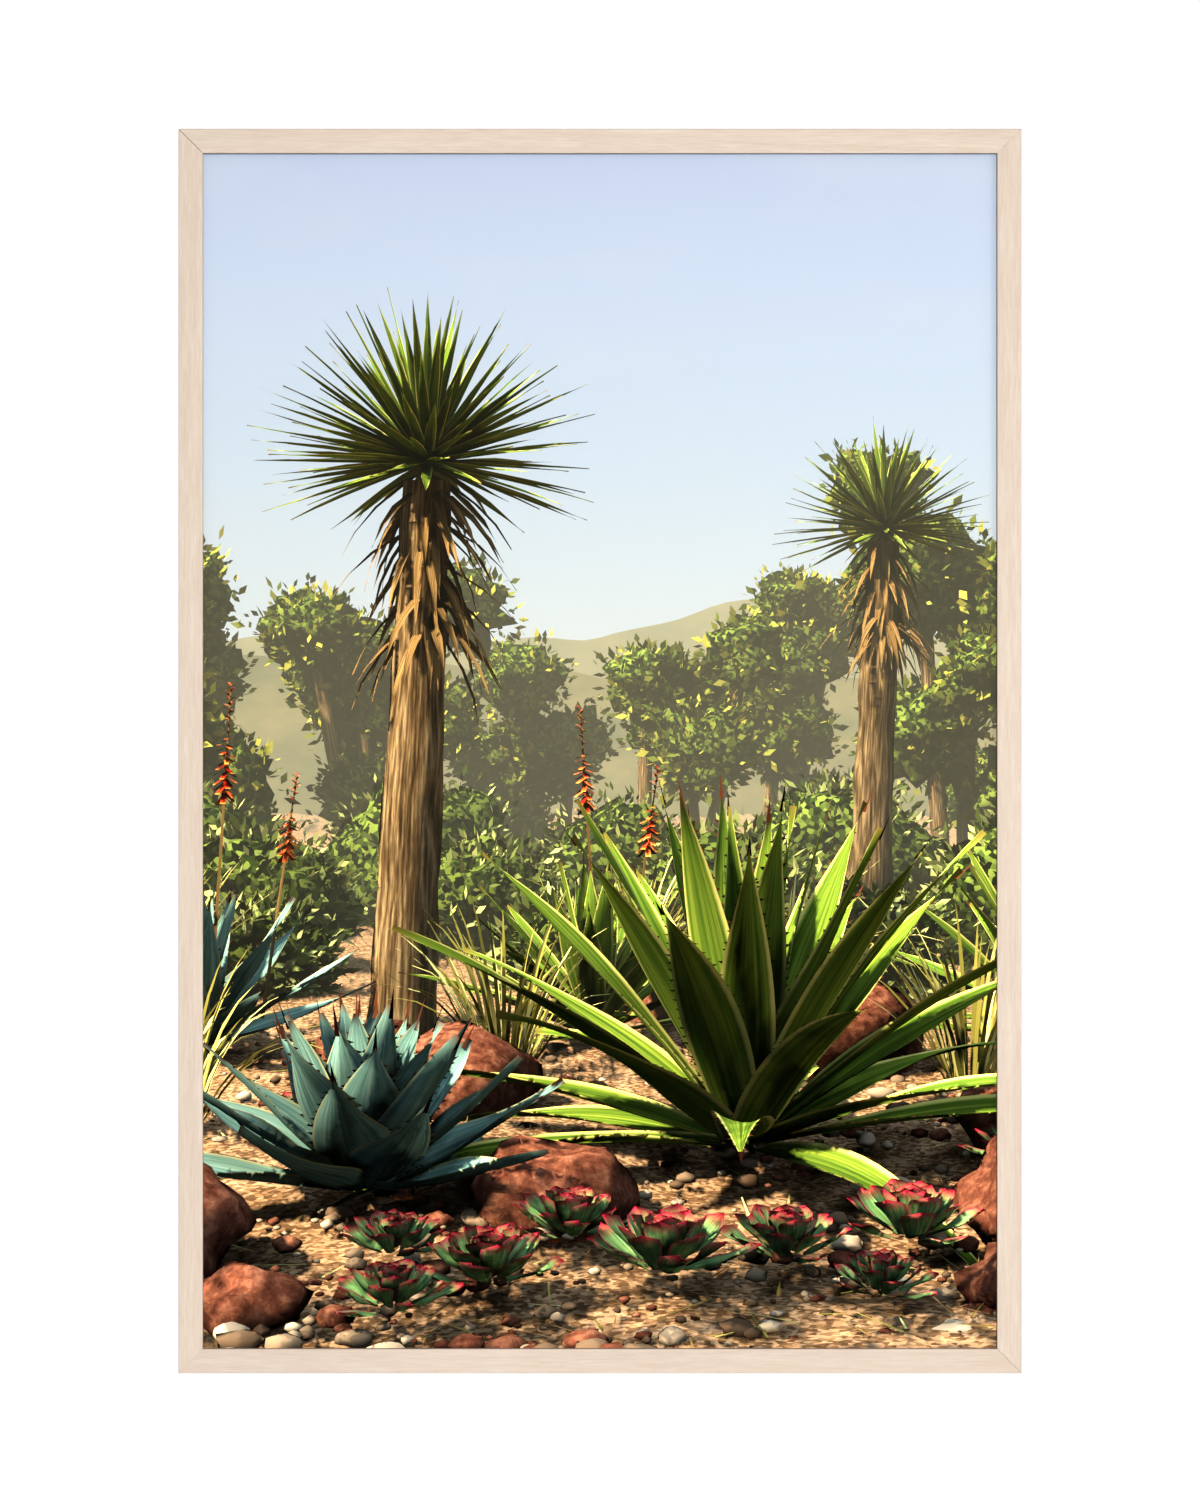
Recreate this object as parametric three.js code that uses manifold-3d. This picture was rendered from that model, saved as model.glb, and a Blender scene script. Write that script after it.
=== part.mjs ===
// A framed print for the wall. A light natural-wood moulding, mitred at the corners, holds clear
// acrylic glazing, a printed sheet and a fibreboard back, and a toothed hanger carries it.
// Millimetres, +Z up. The wall is the plane y = 0 and the front faces -Y. The origin lies on the
// wall in the middle notch of the hanger, where the nail bears.
import * as THREE from "three";
import { mergeVertices } from "three/addons/utils/BufferGeometryUtils.js";
import Module from "manifold-3d";

// Sheets, from front to back
const SHEET_WIDTH = 609.6;
const SHEET_HEIGHT = 914.4;
const GLAZING_THICKNESS = 2;
const PRINT_THICKNESS = 0.25;
const BACKING_THICKNESS = 3;
const SHEET_GAP = 0.25;

// Moulding
const FACE_WIDTH = 18.5;
const MOULDING_DEPTH = 23;
const LIP_COVER = 3;
const REBATE_WIDTH = 4;
const LIP_THICKNESS = 4;
const EASED_EDGE = 0.8;
const EASED_STEPS = 3;
const BACK_CHAMFER = 0.4;
const MITRE_SETBACK = 0.1;

// Space between the moulding and the wall, which the bumpers and the hanger take up
const WALL_SPACE = 3;
const SEAT_GAP = 0.25;
const FIT_CLEARANCE = 0.3;

// How far a cutting tool runs past the surface that it opens
const OVERCUT = 1;

// Flat steel points, driven into the rebate behind the back
const POINT_LENGTH = 16;
const POINT_WIDTH = 6;
const POINT_THICKNESS = 0.5;
const POINT_DRIVEN = 6.25;
const POINT_TIP = 2;
const POINT_CORNER = 1;
const POINTS_ON_SHORT_SIDE = 3;
const POINTS_ON_LONG_SIDE = 4;

// V nails, pressed into the back of each mitre
const V_NAIL_ARM = 4;
const V_NAIL_THICKNESS = 0.5;
const V_NAIL_DEPTH = 7;
const V_NAIL_APEXES = [4.5, 9.5];

// Toothed hanger under the middle of the top edge
const HANGER_LENGTH = 60;
const HANGER_HEIGHT = 9.5;
const HANGER_THICKNESS = 0.7;
const HANGER_RAISED_LENGTH = 39;
const HANGER_RAMP = 2.5;
const HANGER_BELOW_TOP = 2.5;
const HANGER_CORNER = 1.5;
const TOOTH_COUNT = 14;
const TOOTH_PITCH = 2.6;
const TOOTH_DEPTH = 1.6;
const TOOTH_TIP = 0.4;

// Pan-head screws of the hanger
const SCREW_INSET = 4.5;
const SCREW_HEAD_DIAMETER = 5.5;
const SCREW_HEAD_HEIGHT = 1.2;
const SCREW_SHANK_DIAMETER = 2.2;
const SCREW_CROWN_DIAMETER = 3.9;
const SCREW_LENGTH = 9;
const SCREW_TIP = 2.2;
const SCREW_RECESS_WIDTH = 0.7;
const SCREW_RECESS_SPAN = 3;
const SCREW_RECESS_DEPTH = 0.7;
const PILOT_DEPTH = 9;
const SCREW_SIDES = 24;

// Round rubber bumpers at the lower corners
const BUMPER_DIAMETER = 10;
const BUMPER_ROUNDING = 1.2;
const BUMPER_BELOW = 25;
const BUMPER_SIDES = 32;
const ROUNDING_STEPS = 4;

// Sizes that follow
const SIGHT_WIDTH = SHEET_WIDTH - 2 * LIP_COVER;
const SIGHT_HEIGHT = SHEET_HEIGHT - 2 * LIP_COVER;
const OUTER_WIDTH = SIGHT_WIDTH + 2 * FACE_WIDTH;
const OUTER_HEIGHT = SIGHT_HEIGHT + 2 * FACE_WIDTH;
const RAIL_BACK = WALL_SPACE;
const RAIL_FRONT = WALL_SPACE + MOULDING_DEPTH;
const LIP_BACK = RAIL_FRONT - LIP_THICKNESS;
const WALL_WIDTH = FACE_WIDTH - REBATE_WIDTH;
const GLAZING_FRONT = LIP_BACK - SHEET_GAP;
const PRINT_FRONT = GLAZING_FRONT - GLAZING_THICKNESS - SHEET_GAP;
const BACKING_FRONT = PRINT_FRONT - PRINT_THICKNESS - SHEET_GAP;
const POINT_FRONT = BACKING_FRONT - BACKING_THICKNESS - SEAT_GAP;
const HANGER_FOOT = OUTER_HEIGHT / 2 - HANGER_BELOW_TOP - HANGER_HEIGHT;
const NAIL_HEIGHT = HANGER_FOOT + TOOTH_DEPTH;

const wasm = await Module();
wasm.setup();

const materials = {
  wood: { color: 0xeedbc7, roughness: 0.55, metalness: 0 },
  acrylic: { color: 0xf2f7f8, roughness: 0.05, metalness: 0, transparent: true, opacity: 0.2 },
  paper: { color: 0xcfdcec, roughness: 0.5, metalness: 0 },
  fibreboard: { color: 0x9c7a54, roughness: 0.8, metalness: 0 },
  steel: { color: 0xb9bcbe, roughness: 0.35, metalness: 1 },
  rubber: { color: 0x3a3a3c, roughness: 0.7, metalness: 0 },
};

function namedMesh(name, geometry, material) {
  const mesh = new THREE.Mesh(geometry, new THREE.MeshStandardMaterial(materials[material]));
  mesh.name = name;
  return mesh;
}

// Booleans work on closed meshes whose corners are shared.
function toSolid(geometry) {
  const bare = geometry.clone();
  bare.deleteAttribute("normal");
  bare.deleteAttribute("uv");
  const merged = mergeVertices(bare);
  const vertProperties = Float32Array.from(merged.attributes.position.array);
  const triVerts = Uint32Array.from(merged.index.array);
  return new wasm.Manifold(new wasm.Mesh({ numProp: 3, vertProperties, triVerts }));
}

function toGeometry(solid) {
  const { vertProperties, triVerts } = solid.getMesh();
  const geometry = new THREE.BufferGeometry();
  geometry.setAttribute("position", new THREE.BufferAttribute(vertProperties, 3));
  geometry.setIndex(new THREE.BufferAttribute(triVerts, 1));
  geometry.computeVertexNormals();
  return geometry;
}

function cutAway(geometry, tools) {
  let solid = toSolid(geometry);
  for (const tool of tools) {
    solid = solid.subtract(toSolid(tool));
  }
  return toGeometry(solid);
}

// A shape drawn on the back as (x, z), given thickness from one distance off the wall to another
function plate(shape, from, to) {
  const geometry = new THREE.ExtrudeGeometry(shape, { depth: to - from, bevelEnabled: false });
  const back = new THREE.Vector3(0, -1, 0);
  const up = new THREE.Vector3(0, 0, 1);
  geometry.applyMatrix4(new THREE.Matrix4().makeBasis(new THREE.Vector3(1, 0, 0), up, back));
  return geometry.translate(0, -from, 0);
}

function sheet(width, height, front, thickness) {
  const geometry = new THREE.BoxGeometry(width, thickness, height);
  return geometry.translate(0, thickness / 2 - front, 0);
}

function shapeOf(points) {
  return new THREE.Shape(points.map(([x, y]) => new THREE.Vector2(x, y)));
}

// Section of the moulding as (distance in from the outer edge, distance off the wall)
function mouldingSection() {
  const section = new THREE.Shape();
  const easedTop = RAIL_FRONT - EASED_EDGE;
  section.moveTo(BACK_CHAMFER, RAIL_BACK);
  section.lineTo(WALL_WIDTH, RAIL_BACK);
  section.lineTo(WALL_WIDTH, LIP_BACK);
  section.lineTo(FACE_WIDTH, LIP_BACK);
  section.lineTo(FACE_WIDTH, easedTop);
  section.absarc(FACE_WIDTH - EASED_EDGE, easedTop, EASED_EDGE, 0, Math.PI / 2);
  section.lineTo(EASED_EDGE, RAIL_FRONT);
  section.absarc(EASED_EDGE, easedTop, EASED_EDGE, Math.PI / 2, Math.PI);
  section.lineTo(0, RAIL_BACK + BACK_CHAMFER);
  return section;
}

// A mitred rail of the side frame: x along the rail, z inwards from its outer edge
function railBlank(length) {
  const settings = { depth: length, steps: 1, curveSegments: EASED_STEPS, bevelEnabled: false };
  const geometry = new THREE.ExtrudeGeometry(mouldingSection(), settings);
  const position = geometry.attributes.position;
  for (let i = 0; i < position.count; i += 1) {
    const inset = position.getX(i) + MITRE_SETBACK * Math.SQRT2;
    const along = position.getZ(i) > 0 ? length - inset : inset;
    position.setZ(i, along - length / 2);
  }
  const inwards = new THREE.Vector3(0, 0, 1);
  const outOfWall = new THREE.Vector3(0, -1, 0);
  const alongRail = new THREE.Vector3(1, 0, 0);
  return geometry.applyMatrix4(new THREE.Matrix4().makeBasis(inwards, outOfWall, alongRail));
}

// The V of a nail seen from behind, its corner on the mitre at the start or the end of a rail
function vNailShape(length, apex, end, clearance) {
  const near = apex - V_NAIL_THICKNESS / 2 - clearance;
  const inner = apex + V_NAIL_THICKNESS / 2 + clearance;
  const far = apex + V_NAIL_ARM + clearance;
  const alongArm = [[near, near], [far, near], [far, inner]];
  const upArm = [[inner, inner], [inner, far], [near, far]];
  const corners = [...alongArm, ...upArm];
  return shapeOf(corners.map(([along, inset]) => [end * (length / 2 - along), inset]));
}

function vNail(length, apex, end, clearance) {
  const from = clearance > 0 ? RAIL_BACK - OVERCUT : RAIL_BACK + FIT_CLEARANCE;
  const to = RAIL_BACK + FIT_CLEARANCE + V_NAIL_DEPTH + clearance;
  return plate(vNailShape(length, apex, end, clearance), from, to);
}

// Where the points of a side stand along it
function pointPlaces(count, sightLength) {
  return Array.from({ length: count }, (_, i) => ((i + 0.5) / count - 0.5) * sightLength);
}

function point() {
  const half = POINT_WIDTH / 2;
  const start = WALL_WIDTH - POINT_DRIVEN;
  const tail = start + POINT_LENGTH;
  const outline = shapeOf([
    [0, start],
    [half, start + POINT_TIP],
    [half, tail - POINT_CORNER],
    [half - POINT_CORNER, tail],
    [POINT_CORNER - half, tail],
    [-half, tail - POINT_CORNER],
    [-half, start + POINT_TIP],
  ]);
  return plate(outline, POINT_FRONT - POINT_THICKNESS, POINT_FRONT);
}

function pointSlot(place) {
  const width = POINT_WIDTH + 2 * FIT_CLEARANCE;
  const thickness = POINT_THICKNESS + 2 * SEAT_GAP;
  const depth = POINT_DRIVEN + FIT_CLEARANCE + OVERCUT;
  const slot = new THREE.BoxGeometry(width, thickness, depth);
  return slot.translate(place, POINT_THICKNESS / 2 - POINT_FRONT, WALL_WIDTH + OVERCUT - depth / 2);
}

function screw() {
  const head = SCREW_HEAD_DIAMETER / 2;
  const shank = SCREW_SHANK_DIAMETER / 2;
  const profile = [
    [0, -SCREW_LENGTH],
    [shank, SCREW_TIP - SCREW_LENGTH],
    [shank, 0],
    [head, 0],
    [head, SCREW_HEAD_HEIGHT / 2],
    [SCREW_CROWN_DIAMETER / 2, SCREW_HEAD_HEIGHT],
    [0, SCREW_HEAD_HEIGHT],
  ];
  const turned = new THREE.LatheGeometry(profile.map(([r, y]) => new THREE.Vector2(r, y)), SCREW_SIDES);
  const height = 2 * SCREW_RECESS_DEPTH;
  const slots = [
    new THREE.BoxGeometry(SCREW_RECESS_SPAN, height, SCREW_RECESS_WIDTH),
    new THREE.BoxGeometry(SCREW_RECESS_WIDTH, height, SCREW_RECESS_SPAN),
  ];
  return cutAway(turned, slots.map((slot) => slot.translate(0, SCREW_HEAD_HEIGHT, 0)));
}

function pilotHole(place, inset) {
  const radius = SCREW_SHANK_DIAMETER / 2 + FIT_CLEARANCE;
  const depth = PILOT_DEPTH + OVERCUT;
  const hole = new THREE.CylinderGeometry(radius, radius, depth, SCREW_SIDES);
  return hole.translate(place, OVERCUT - RAIL_BACK - depth / 2, inset);
}

// Front outline of the hanger with its teeth below and its two screw holes
function hangerOutline() {
  const half = HANGER_LENGTH / 2;
  const outline = new THREE.Shape();
  outline.moveTo(half, HANGER_CORNER);
  outline.lineTo(half, HANGER_HEIGHT - HANGER_CORNER);
  outline.lineTo(half - HANGER_CORNER, HANGER_HEIGHT);
  outline.lineTo(HANGER_CORNER - half, HANGER_HEIGHT);
  outline.lineTo(-half, HANGER_HEIGHT - HANGER_CORNER);
  outline.lineTo(-half, HANGER_CORNER);
  outline.lineTo(HANGER_CORNER - half, 0);
  for (let i = 0; i < TOOTH_COUNT - 1; i += 1) {
    const notch = (i - (TOOTH_COUNT - 2) / 2) * TOOTH_PITCH;
    const reach = (TOOTH_PITCH - TOOTH_TIP) / 2;
    outline.lineTo(notch - reach, 0);
    outline.lineTo(notch, TOOTH_DEPTH);
    outline.lineTo(notch + reach, 0);
  }
  outline.lineTo(half - HANGER_CORNER, 0);
  for (const side of [-1, 1]) {
    const hole = new THREE.Path();
    const radius = SCREW_SHANK_DIAMETER / 2 + FIT_CLEARANCE;
    hole.absarc(side * (half - SCREW_INSET), HANGER_HEIGHT / 2, radius, 0, 2 * Math.PI);
    outline.holes.push(hole);
  }
  return outline;
}

// The strip seen from above: flat ends on the rail and a middle raised towards the wall
function hangerStrip() {
  const half = HANGER_LENGTH / 2;
  const raised = HANGER_RAISED_LENGTH / 2;
  const foot = raised + HANGER_RAMP;
  const low = RAIL_BACK - SEAT_GAP;
  const high = SEAT_GAP + HANGER_THICKNESS;
  const rightHalf = [[raised, high], [foot, low], [half, low]];
  const leftHalf = rightHalf.map(([x, off]) => [-x, off]).reverse();
  const railSide = [...leftHalf, ...rightHalf];
  const wallSide = railSide.map(([x, off]) => [x, off - HANGER_THICKNESS]).reverse();
  const strip = shapeOf([...railSide, ...wallSide]);
  const geometry = new THREE.ExtrudeGeometry(strip, { depth: HANGER_HEIGHT, bevelEnabled: false });
  const outOfWall = new THREE.Vector3(0, -1, 0);
  const down = new THREE.Vector3(0, 0, -1);
  geometry.applyMatrix4(new THREE.Matrix4().makeBasis(new THREE.Vector3(1, 0, 0), outOfWall, down));
  return geometry.translate(0, 0, HANGER_HEIGHT);
}

function hanger() {
  const stamped = toSolid(plate(hangerOutline(), 0, WALL_SPACE));
  return toGeometry(toSolid(hangerStrip()).intersect(stamped));
}

function bumper() {
  const radius = BUMPER_DIAMETER / 2;
  const foot = SEAT_GAP - WALL_SPACE;
  const profile = [new THREE.Vector2(0, foot), new THREE.Vector2(radius, foot)];
  for (let i = 0; i <= ROUNDING_STEPS; i += 1) {
    const angle = (i / ROUNDING_STEPS) * (Math.PI / 2);
    const across = radius - BUMPER_ROUNDING * (1 - Math.cos(angle));
    profile.push(new THREE.Vector2(across, BUMPER_ROUNDING * (Math.sin(angle) - 1)));
  }
  profile.push(new THREE.Vector2(0, 0));
  return new THREE.LatheGeometry(profile, BUMPER_SIDES);
}

// One side of the frame: its rail, the points in it and the V nails at the corner where it starts
function frameSide({ name, corner, turn, length, reach, sightLength, pointCount, pilots }) {
  const side = new THREE.Group();
  const depthAxis = new THREE.Vector3(0, 1, 0);
  side.rotation.y = turn;
  side.position.set(0, 0, -reach).applyAxisAngle(depthAxis, turn);
  const places = pointPlaces(pointCount, sightLength);
  const tools = places.map(pointSlot);
  for (const apex of V_NAIL_APEXES) {
    tools.push(vNail(length, apex, -1, FIT_CLEARANCE));
    tools.push(vNail(length, apex, 1, FIT_CLEARANCE));
  }
  for (const [place, inset] of pilots) {
    tools.push(pilotHole(place, inset));
  }
  side.add(namedMesh(`rail_${name}`, cutAway(railBlank(length), tools), "wood"));
  places.forEach((place, i) => {
    const driven = namedMesh(`point_${name}_${i + 1}`, point(), "steel");
    driven.position.x = place;
    side.add(driven);
  });
  V_NAIL_APEXES.forEach((apex, i) => {
    side.add(namedMesh(`v_nail_${corner}_${i + 1}`, vNail(length, apex, -1, 0), "steel"));
  });
  return side;
}

// Screw places of the hanger, as (x, z) from the middle of the picture
const screwPlaces = [["left", -1], ["right", 1]].map(([name, end]) => {
  return [name, end * (HANGER_LENGTH / 2 - SCREW_INSET), HANGER_FOOT + HANGER_HEIGHT / 2];
});
const topPilots = screwPlaces.map(([, x, z]) => [-x, OUTER_HEIGHT / 2 - z]);

const shortSide = {
  length: OUTER_WIDTH,
  reach: OUTER_HEIGHT / 2,
  sightLength: SIGHT_WIDTH,
  pointCount: POINTS_ON_SHORT_SIDE,
  pilots: [],
};
const longSide = {
  length: OUTER_HEIGHT,
  reach: OUTER_WIDTH / 2,
  sightLength: SIGHT_HEIGHT,
  pointCount: POINTS_ON_LONG_SIDE,
  pilots: [],
};
const quarter = Math.PI / 2;

// Everything is placed from the middle of the picture, which hangs that far below the nail.
const picture = new THREE.Group();
picture.position.z = -NAIL_HEIGHT;
picture.add(frameSide({ ...shortSide, name: "bottom", corner: "bottom_left", turn: 0 }));
picture.add(frameSide({ ...longSide, name: "left", corner: "top_left", turn: quarter }));
const topSide = { ...shortSide, pilots: topPilots };
picture.add(frameSide({ ...topSide, name: "top", corner: "top_right", turn: 2 * quarter }));
picture.add(frameSide({ ...longSide, name: "right", corner: "bottom_right", turn: 3 * quarter }));

const sheets = [
  ["glazing", GLAZING_FRONT, GLAZING_THICKNESS, "acrylic"],
  ["print", PRINT_FRONT, PRINT_THICKNESS, "paper"],
  ["backing", BACKING_FRONT, BACKING_THICKNESS, "fibreboard"],
];
for (const [name, front, thickness, material] of sheets) {
  picture.add(namedMesh(name, sheet(SHEET_WIDTH, SHEET_HEIGHT, front, thickness), material));
}

const strip = namedMesh("hanger", hanger(), "steel");
strip.position.z = HANGER_FOOT;
picture.add(strip);
for (const [name, x, z] of screwPlaces) {
  const fixing = namedMesh(`screw_${name}`, screw(), "steel");
  fixing.position.set(x, HANGER_THICKNESS + 2 * SEAT_GAP - RAIL_BACK, z);
  picture.add(fixing);
}

for (const [name, side] of [["left", -1], ["right", 1]]) {
  const foot = namedMesh(`bumper_${name}`, bumper(), "rubber");
  foot.position.set(side * (OUTER_WIDTH - WALL_WIDTH) / 2, 0, BUMPER_BELOW - OUTER_HEIGHT / 2);
  picture.add(foot);
}

const group = new THREE.Group();
group.name = "framed_print";
group.add(picture);

export default group;
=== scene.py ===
# %% [markdown]
# # A framed print for the wall
# The object is a photographic print in a frame of pale natural wood. The frame is four lengths of
# moulding with mitred corners. Behind its lip lie a sheet of clear acrylic, the print and a
# fibreboard back, and small steel parts hold it together and hang it on a nail.
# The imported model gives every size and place. This lesson gives each piece its finish, and it
# draws the picture itself, a dry garden in the sun, without any image file.

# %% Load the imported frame
import math
import random

import bmesh
import bpy
import numpy as np
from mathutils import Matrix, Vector, noise
from mathutils.bvhtree import BVHTree
from mathutils.geometry import delaunay_2d_cdt


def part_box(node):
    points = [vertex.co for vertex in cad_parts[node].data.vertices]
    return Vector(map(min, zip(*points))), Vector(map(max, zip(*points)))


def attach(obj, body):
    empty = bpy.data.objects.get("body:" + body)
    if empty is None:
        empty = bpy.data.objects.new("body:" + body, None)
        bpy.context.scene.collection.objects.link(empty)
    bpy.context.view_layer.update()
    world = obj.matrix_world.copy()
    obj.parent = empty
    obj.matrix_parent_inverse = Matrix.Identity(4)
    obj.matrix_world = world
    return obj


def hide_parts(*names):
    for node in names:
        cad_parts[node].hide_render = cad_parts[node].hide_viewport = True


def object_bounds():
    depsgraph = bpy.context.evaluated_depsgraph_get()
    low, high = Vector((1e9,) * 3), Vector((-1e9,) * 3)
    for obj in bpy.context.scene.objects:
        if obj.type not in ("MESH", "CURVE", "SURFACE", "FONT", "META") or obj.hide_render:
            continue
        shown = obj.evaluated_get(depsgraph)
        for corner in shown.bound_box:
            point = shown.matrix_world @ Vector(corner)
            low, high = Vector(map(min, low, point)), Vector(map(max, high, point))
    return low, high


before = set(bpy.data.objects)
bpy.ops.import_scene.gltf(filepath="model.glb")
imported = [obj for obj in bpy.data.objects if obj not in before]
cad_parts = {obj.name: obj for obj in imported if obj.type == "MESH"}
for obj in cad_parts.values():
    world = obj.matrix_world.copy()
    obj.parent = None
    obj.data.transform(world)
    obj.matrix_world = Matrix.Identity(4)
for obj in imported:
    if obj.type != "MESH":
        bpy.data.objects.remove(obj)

MM = 0.001
cad_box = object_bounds()
box_size = [round(side / MM, 1) for side in cad_box[1] - cad_box[0]]
print("box of the packed model, mm:", box_size)

# %% [markdown]
# ## The camera
# The photograph looks straight at the picture from its middle, with a long lens, so the sides of
# the frame stay parallel. The camera could be placed by eye. Here its distance is worked out from
# how much of the picture's height the frame fills, so the render frames it in the same way.

# %% Camera
PHOTO_HEIGHT_PX = 1502
FRAME_HEIGHT_PX = 1244.6
LENS_MM = 80
SENSOR_MM = 36

sheet_low, sheet_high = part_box("print")
centre = (sheet_low + sheet_high) / 2
rail_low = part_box("rail_bottom")[0]
rail_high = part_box("rail_top")[1]
frame_height = rail_high.z - rail_low.z
front_y = rail_low.y
view_height = frame_height * PHOTO_HEIGHT_PX / FRAME_HEIGHT_PX
camera_distance = view_height * LENS_MM / SENSOR_MM

camera_data = bpy.data.cameras.new("camera")
camera_data.lens = LENS_MM
camera_data.sensor_width = SENSOR_MM
camera = bpy.data.objects.new("camera", camera_data)
camera.location = (centre.x, front_y - camera_distance, centre.z)
camera.rotation_euler = (math.pi / 2, 0, 0)
scene = bpy.context.scene
scene.collection.objects.link(camera)
scene.camera = camera
print("camera stands", round(camera_distance, 3), "m in front of the frame")

# %% [markdown]
# ## Nodes and colours
# Every finish below is a small tree of shader nodes. One helper adds a node, sets its properties
# and links its inputs, which keeps each material short enough to read. Colours are written as the
# sRGB hex values that a colour picker shows, and one function turns them into the linear values
# that the renderer needs.

# %% Helpers for colours, nodes and materials
def linear(hex_colour):
    """The linear RGBA of an sRGB hex colour."""
    digits = hex_colour.lstrip("#")
    values = [int(digits[i:i + 2], 16) / 255 for i in (0, 2, 4)]
    return [v / 12.92 if v <= 0.04045 else ((v + 0.055) / 1.055) ** 2.4 for v in values] + [1.0]


def add_node(tree, kind, inputs=None, stops=None, **settings):
    """Adds a node. An input is a value or an output to link, and stops are a colour ramp's."""
    made = tree.nodes.new(kind)
    for name, value in settings.items():
        setattr(made, name, value)
    for name, value in (inputs or {}).items():
        if isinstance(value, bpy.types.NodeSocket):
            tree.links.new(value, made.inputs[name])
        else:
            made.inputs[name].default_value = value
    if stops:
        elements = made.color_ramp.elements
        while len(elements) < len(stops):
            elements.new(1.0)
        for element, (place, colour) in zip(elements, stops):
            element.position = place
            element.color = linear(colour)
    return made


def new_material(name):
    """A material with only a Principled shader and the output."""
    material = bpy.data.materials.new(name)
    material.use_nodes = True
    tree = material.node_tree
    return material, tree, tree.nodes["Principled BSDF"]


# A Mix node for colours has its factor at input 0, its colours at 6 and 7 and its result at
# output 2.
BLEND = {"data_type": "RGBA", "blend_type": "MIX"}
MULTIPLY = {"data_type": "RGBA", "blend_type": "MULTIPLY"}

# %% [markdown]
# ## Studio light
# The print is lit as artwork is copied. The main soft box stands close to the camera's axis, a
# little to the right and above, so the lip throws a crisp shadow line about half a millimetre wide
# along the right and the top of the picture, as in the photograph. Copy lamps are polarised so that
# the glazing doesn't mirror them, and here the front lamps are hidden from mirror rays for the same
# reason. Two boxes just behind the plane of the picture light the sides, and another the back.
#
# The background is plain white, but it lights the object more softly than it looks, so that the
# dark parts of the picture stay dark. A copy studio also hangs black cloth behind the camera:
# mirror rays find the front half of the room almost black, and only the back half, which the steel
# fittings face, is bright.

# %% White room and black cloth
WHITE_SEEN = 1.02
WHITE_FELT = 0.32
WHITE_MIRRORED = 0.55
BLACK_CLOTH = 0.02
CLOTH_EDGE = 0.25

world = bpy.data.worlds.new("studio")
scene.world = world
world.use_nodes = True
sky_tree = world.node_tree
sky_tree.nodes.clear()
ray = add_node(sky_tree, "ShaderNodeLightPath")
way = add_node(sky_tree, "ShaderNodeTexCoord")
way_parts = add_node(sky_tree, "ShaderNodeSeparateXYZ", {"Vector": way.outputs["Generated"]})
mirrored = add_node(sky_tree, "ShaderNodeMapRange", {
    "Value": way_parts.outputs["Y"],
    "From Min": -CLOTH_EDGE,
    "From Max": CLOTH_EDGE,
    "To Min": BLACK_CLOTH,
    "To Max": WHITE_MIRRORED,
}, interpolation_type="SMOOTHSTEP")
unseen = add_node(sky_tree, "ShaderNodeMix", {
    "Factor": ray.outputs["Is Glossy Ray"],
    "A": WHITE_FELT,
    "B": mirrored.outputs[0],
})
strength = add_node(sky_tree, "ShaderNodeMix", {
    "Factor": ray.outputs["Is Camera Ray"],
    "A": unseen.outputs[0],
    "B": WHITE_SEEN,
})
white = add_node(sky_tree, "ShaderNodeBackground", {
    "Color": (1, 1, 1, 1),
    "Strength": strength.outputs[0],
})
add_node(sky_tree, "ShaderNodeOutputWorld", {"Surface": white.outputs[0]})
print("world nodes:", len(sky_tree.nodes))

# %% Soft boxes
# (name, azimuth, elevation, distance, width, height, watts, whether mirror rays see it); azimuth 0
# is in front, and positive to the right.
SOFT_BOXES = (
    ("soft_box_main", 5, 6, 3.6, 0.4, 0.4, 94, False),
    ("soft_box_side", 38, 12, 3.2, 0.8, 1.6, 16, False),
    ("soft_box_left", -104, 12, 3.2, 1.4, 2.0, 34, True),
    ("soft_box_right", 104, 12, 3.2, 1.4, 2.0, 26, True),
    ("soft_box_back", 160, 30, 3.0, 2.0, 2.0, 80, True),
)
for name, azimuth, elevation, distance, width, height, watts, mirrored in SOFT_BOXES:
    lamp = bpy.data.lights.new(name, "AREA")
    lamp.shape = "RECTANGLE"
    lamp.size = width
    lamp.size_y = height
    lamp.energy = watts
    turn, lift = math.radians(azimuth), math.radians(elevation)
    level = math.cos(lift)
    away = Vector((math.sin(turn) * level, -math.cos(turn) * level, math.sin(lift)))
    holder = bpy.data.objects.new(name, lamp)
    holder.location = centre + away * distance
    holder.rotation_euler = away.to_track_quat("Z", "Y").to_euler()
    holder.visible_glossy = mirrored
    scene.collection.objects.link(holder)
scene.view_settings.view_transform = "Standard"
print("soft boxes:", len(SOFT_BOXES))

# %% [markdown]
# ## The floor
# A picture's middle hangs about 1.5 m above the floor. The floor is a disc in matt white paint that
# fades out at its rim, so the white background meets it without a hard line. A studio's paper roll
# could be modelled instead, but its curve would shade the background. A trace of clear is left all
# over the disc, because the denoiser would draw a faint line where an opaque floor begins to fade.

# %% Floor
HANGING_HEIGHT = 1.5
FLOOR_RADIUS = 3.9
FADE_START = 0.45
CLEAR_SHARE = 0.002

bpy.ops.mesh.primitive_circle_add(vertices=96, radius=FLOOR_RADIUS, fill_type="NGON")
floor = bpy.context.object
floor.name = "floor"
floor.location = (centre.x, 0, centre.z - HANGING_HEIGHT)
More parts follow.
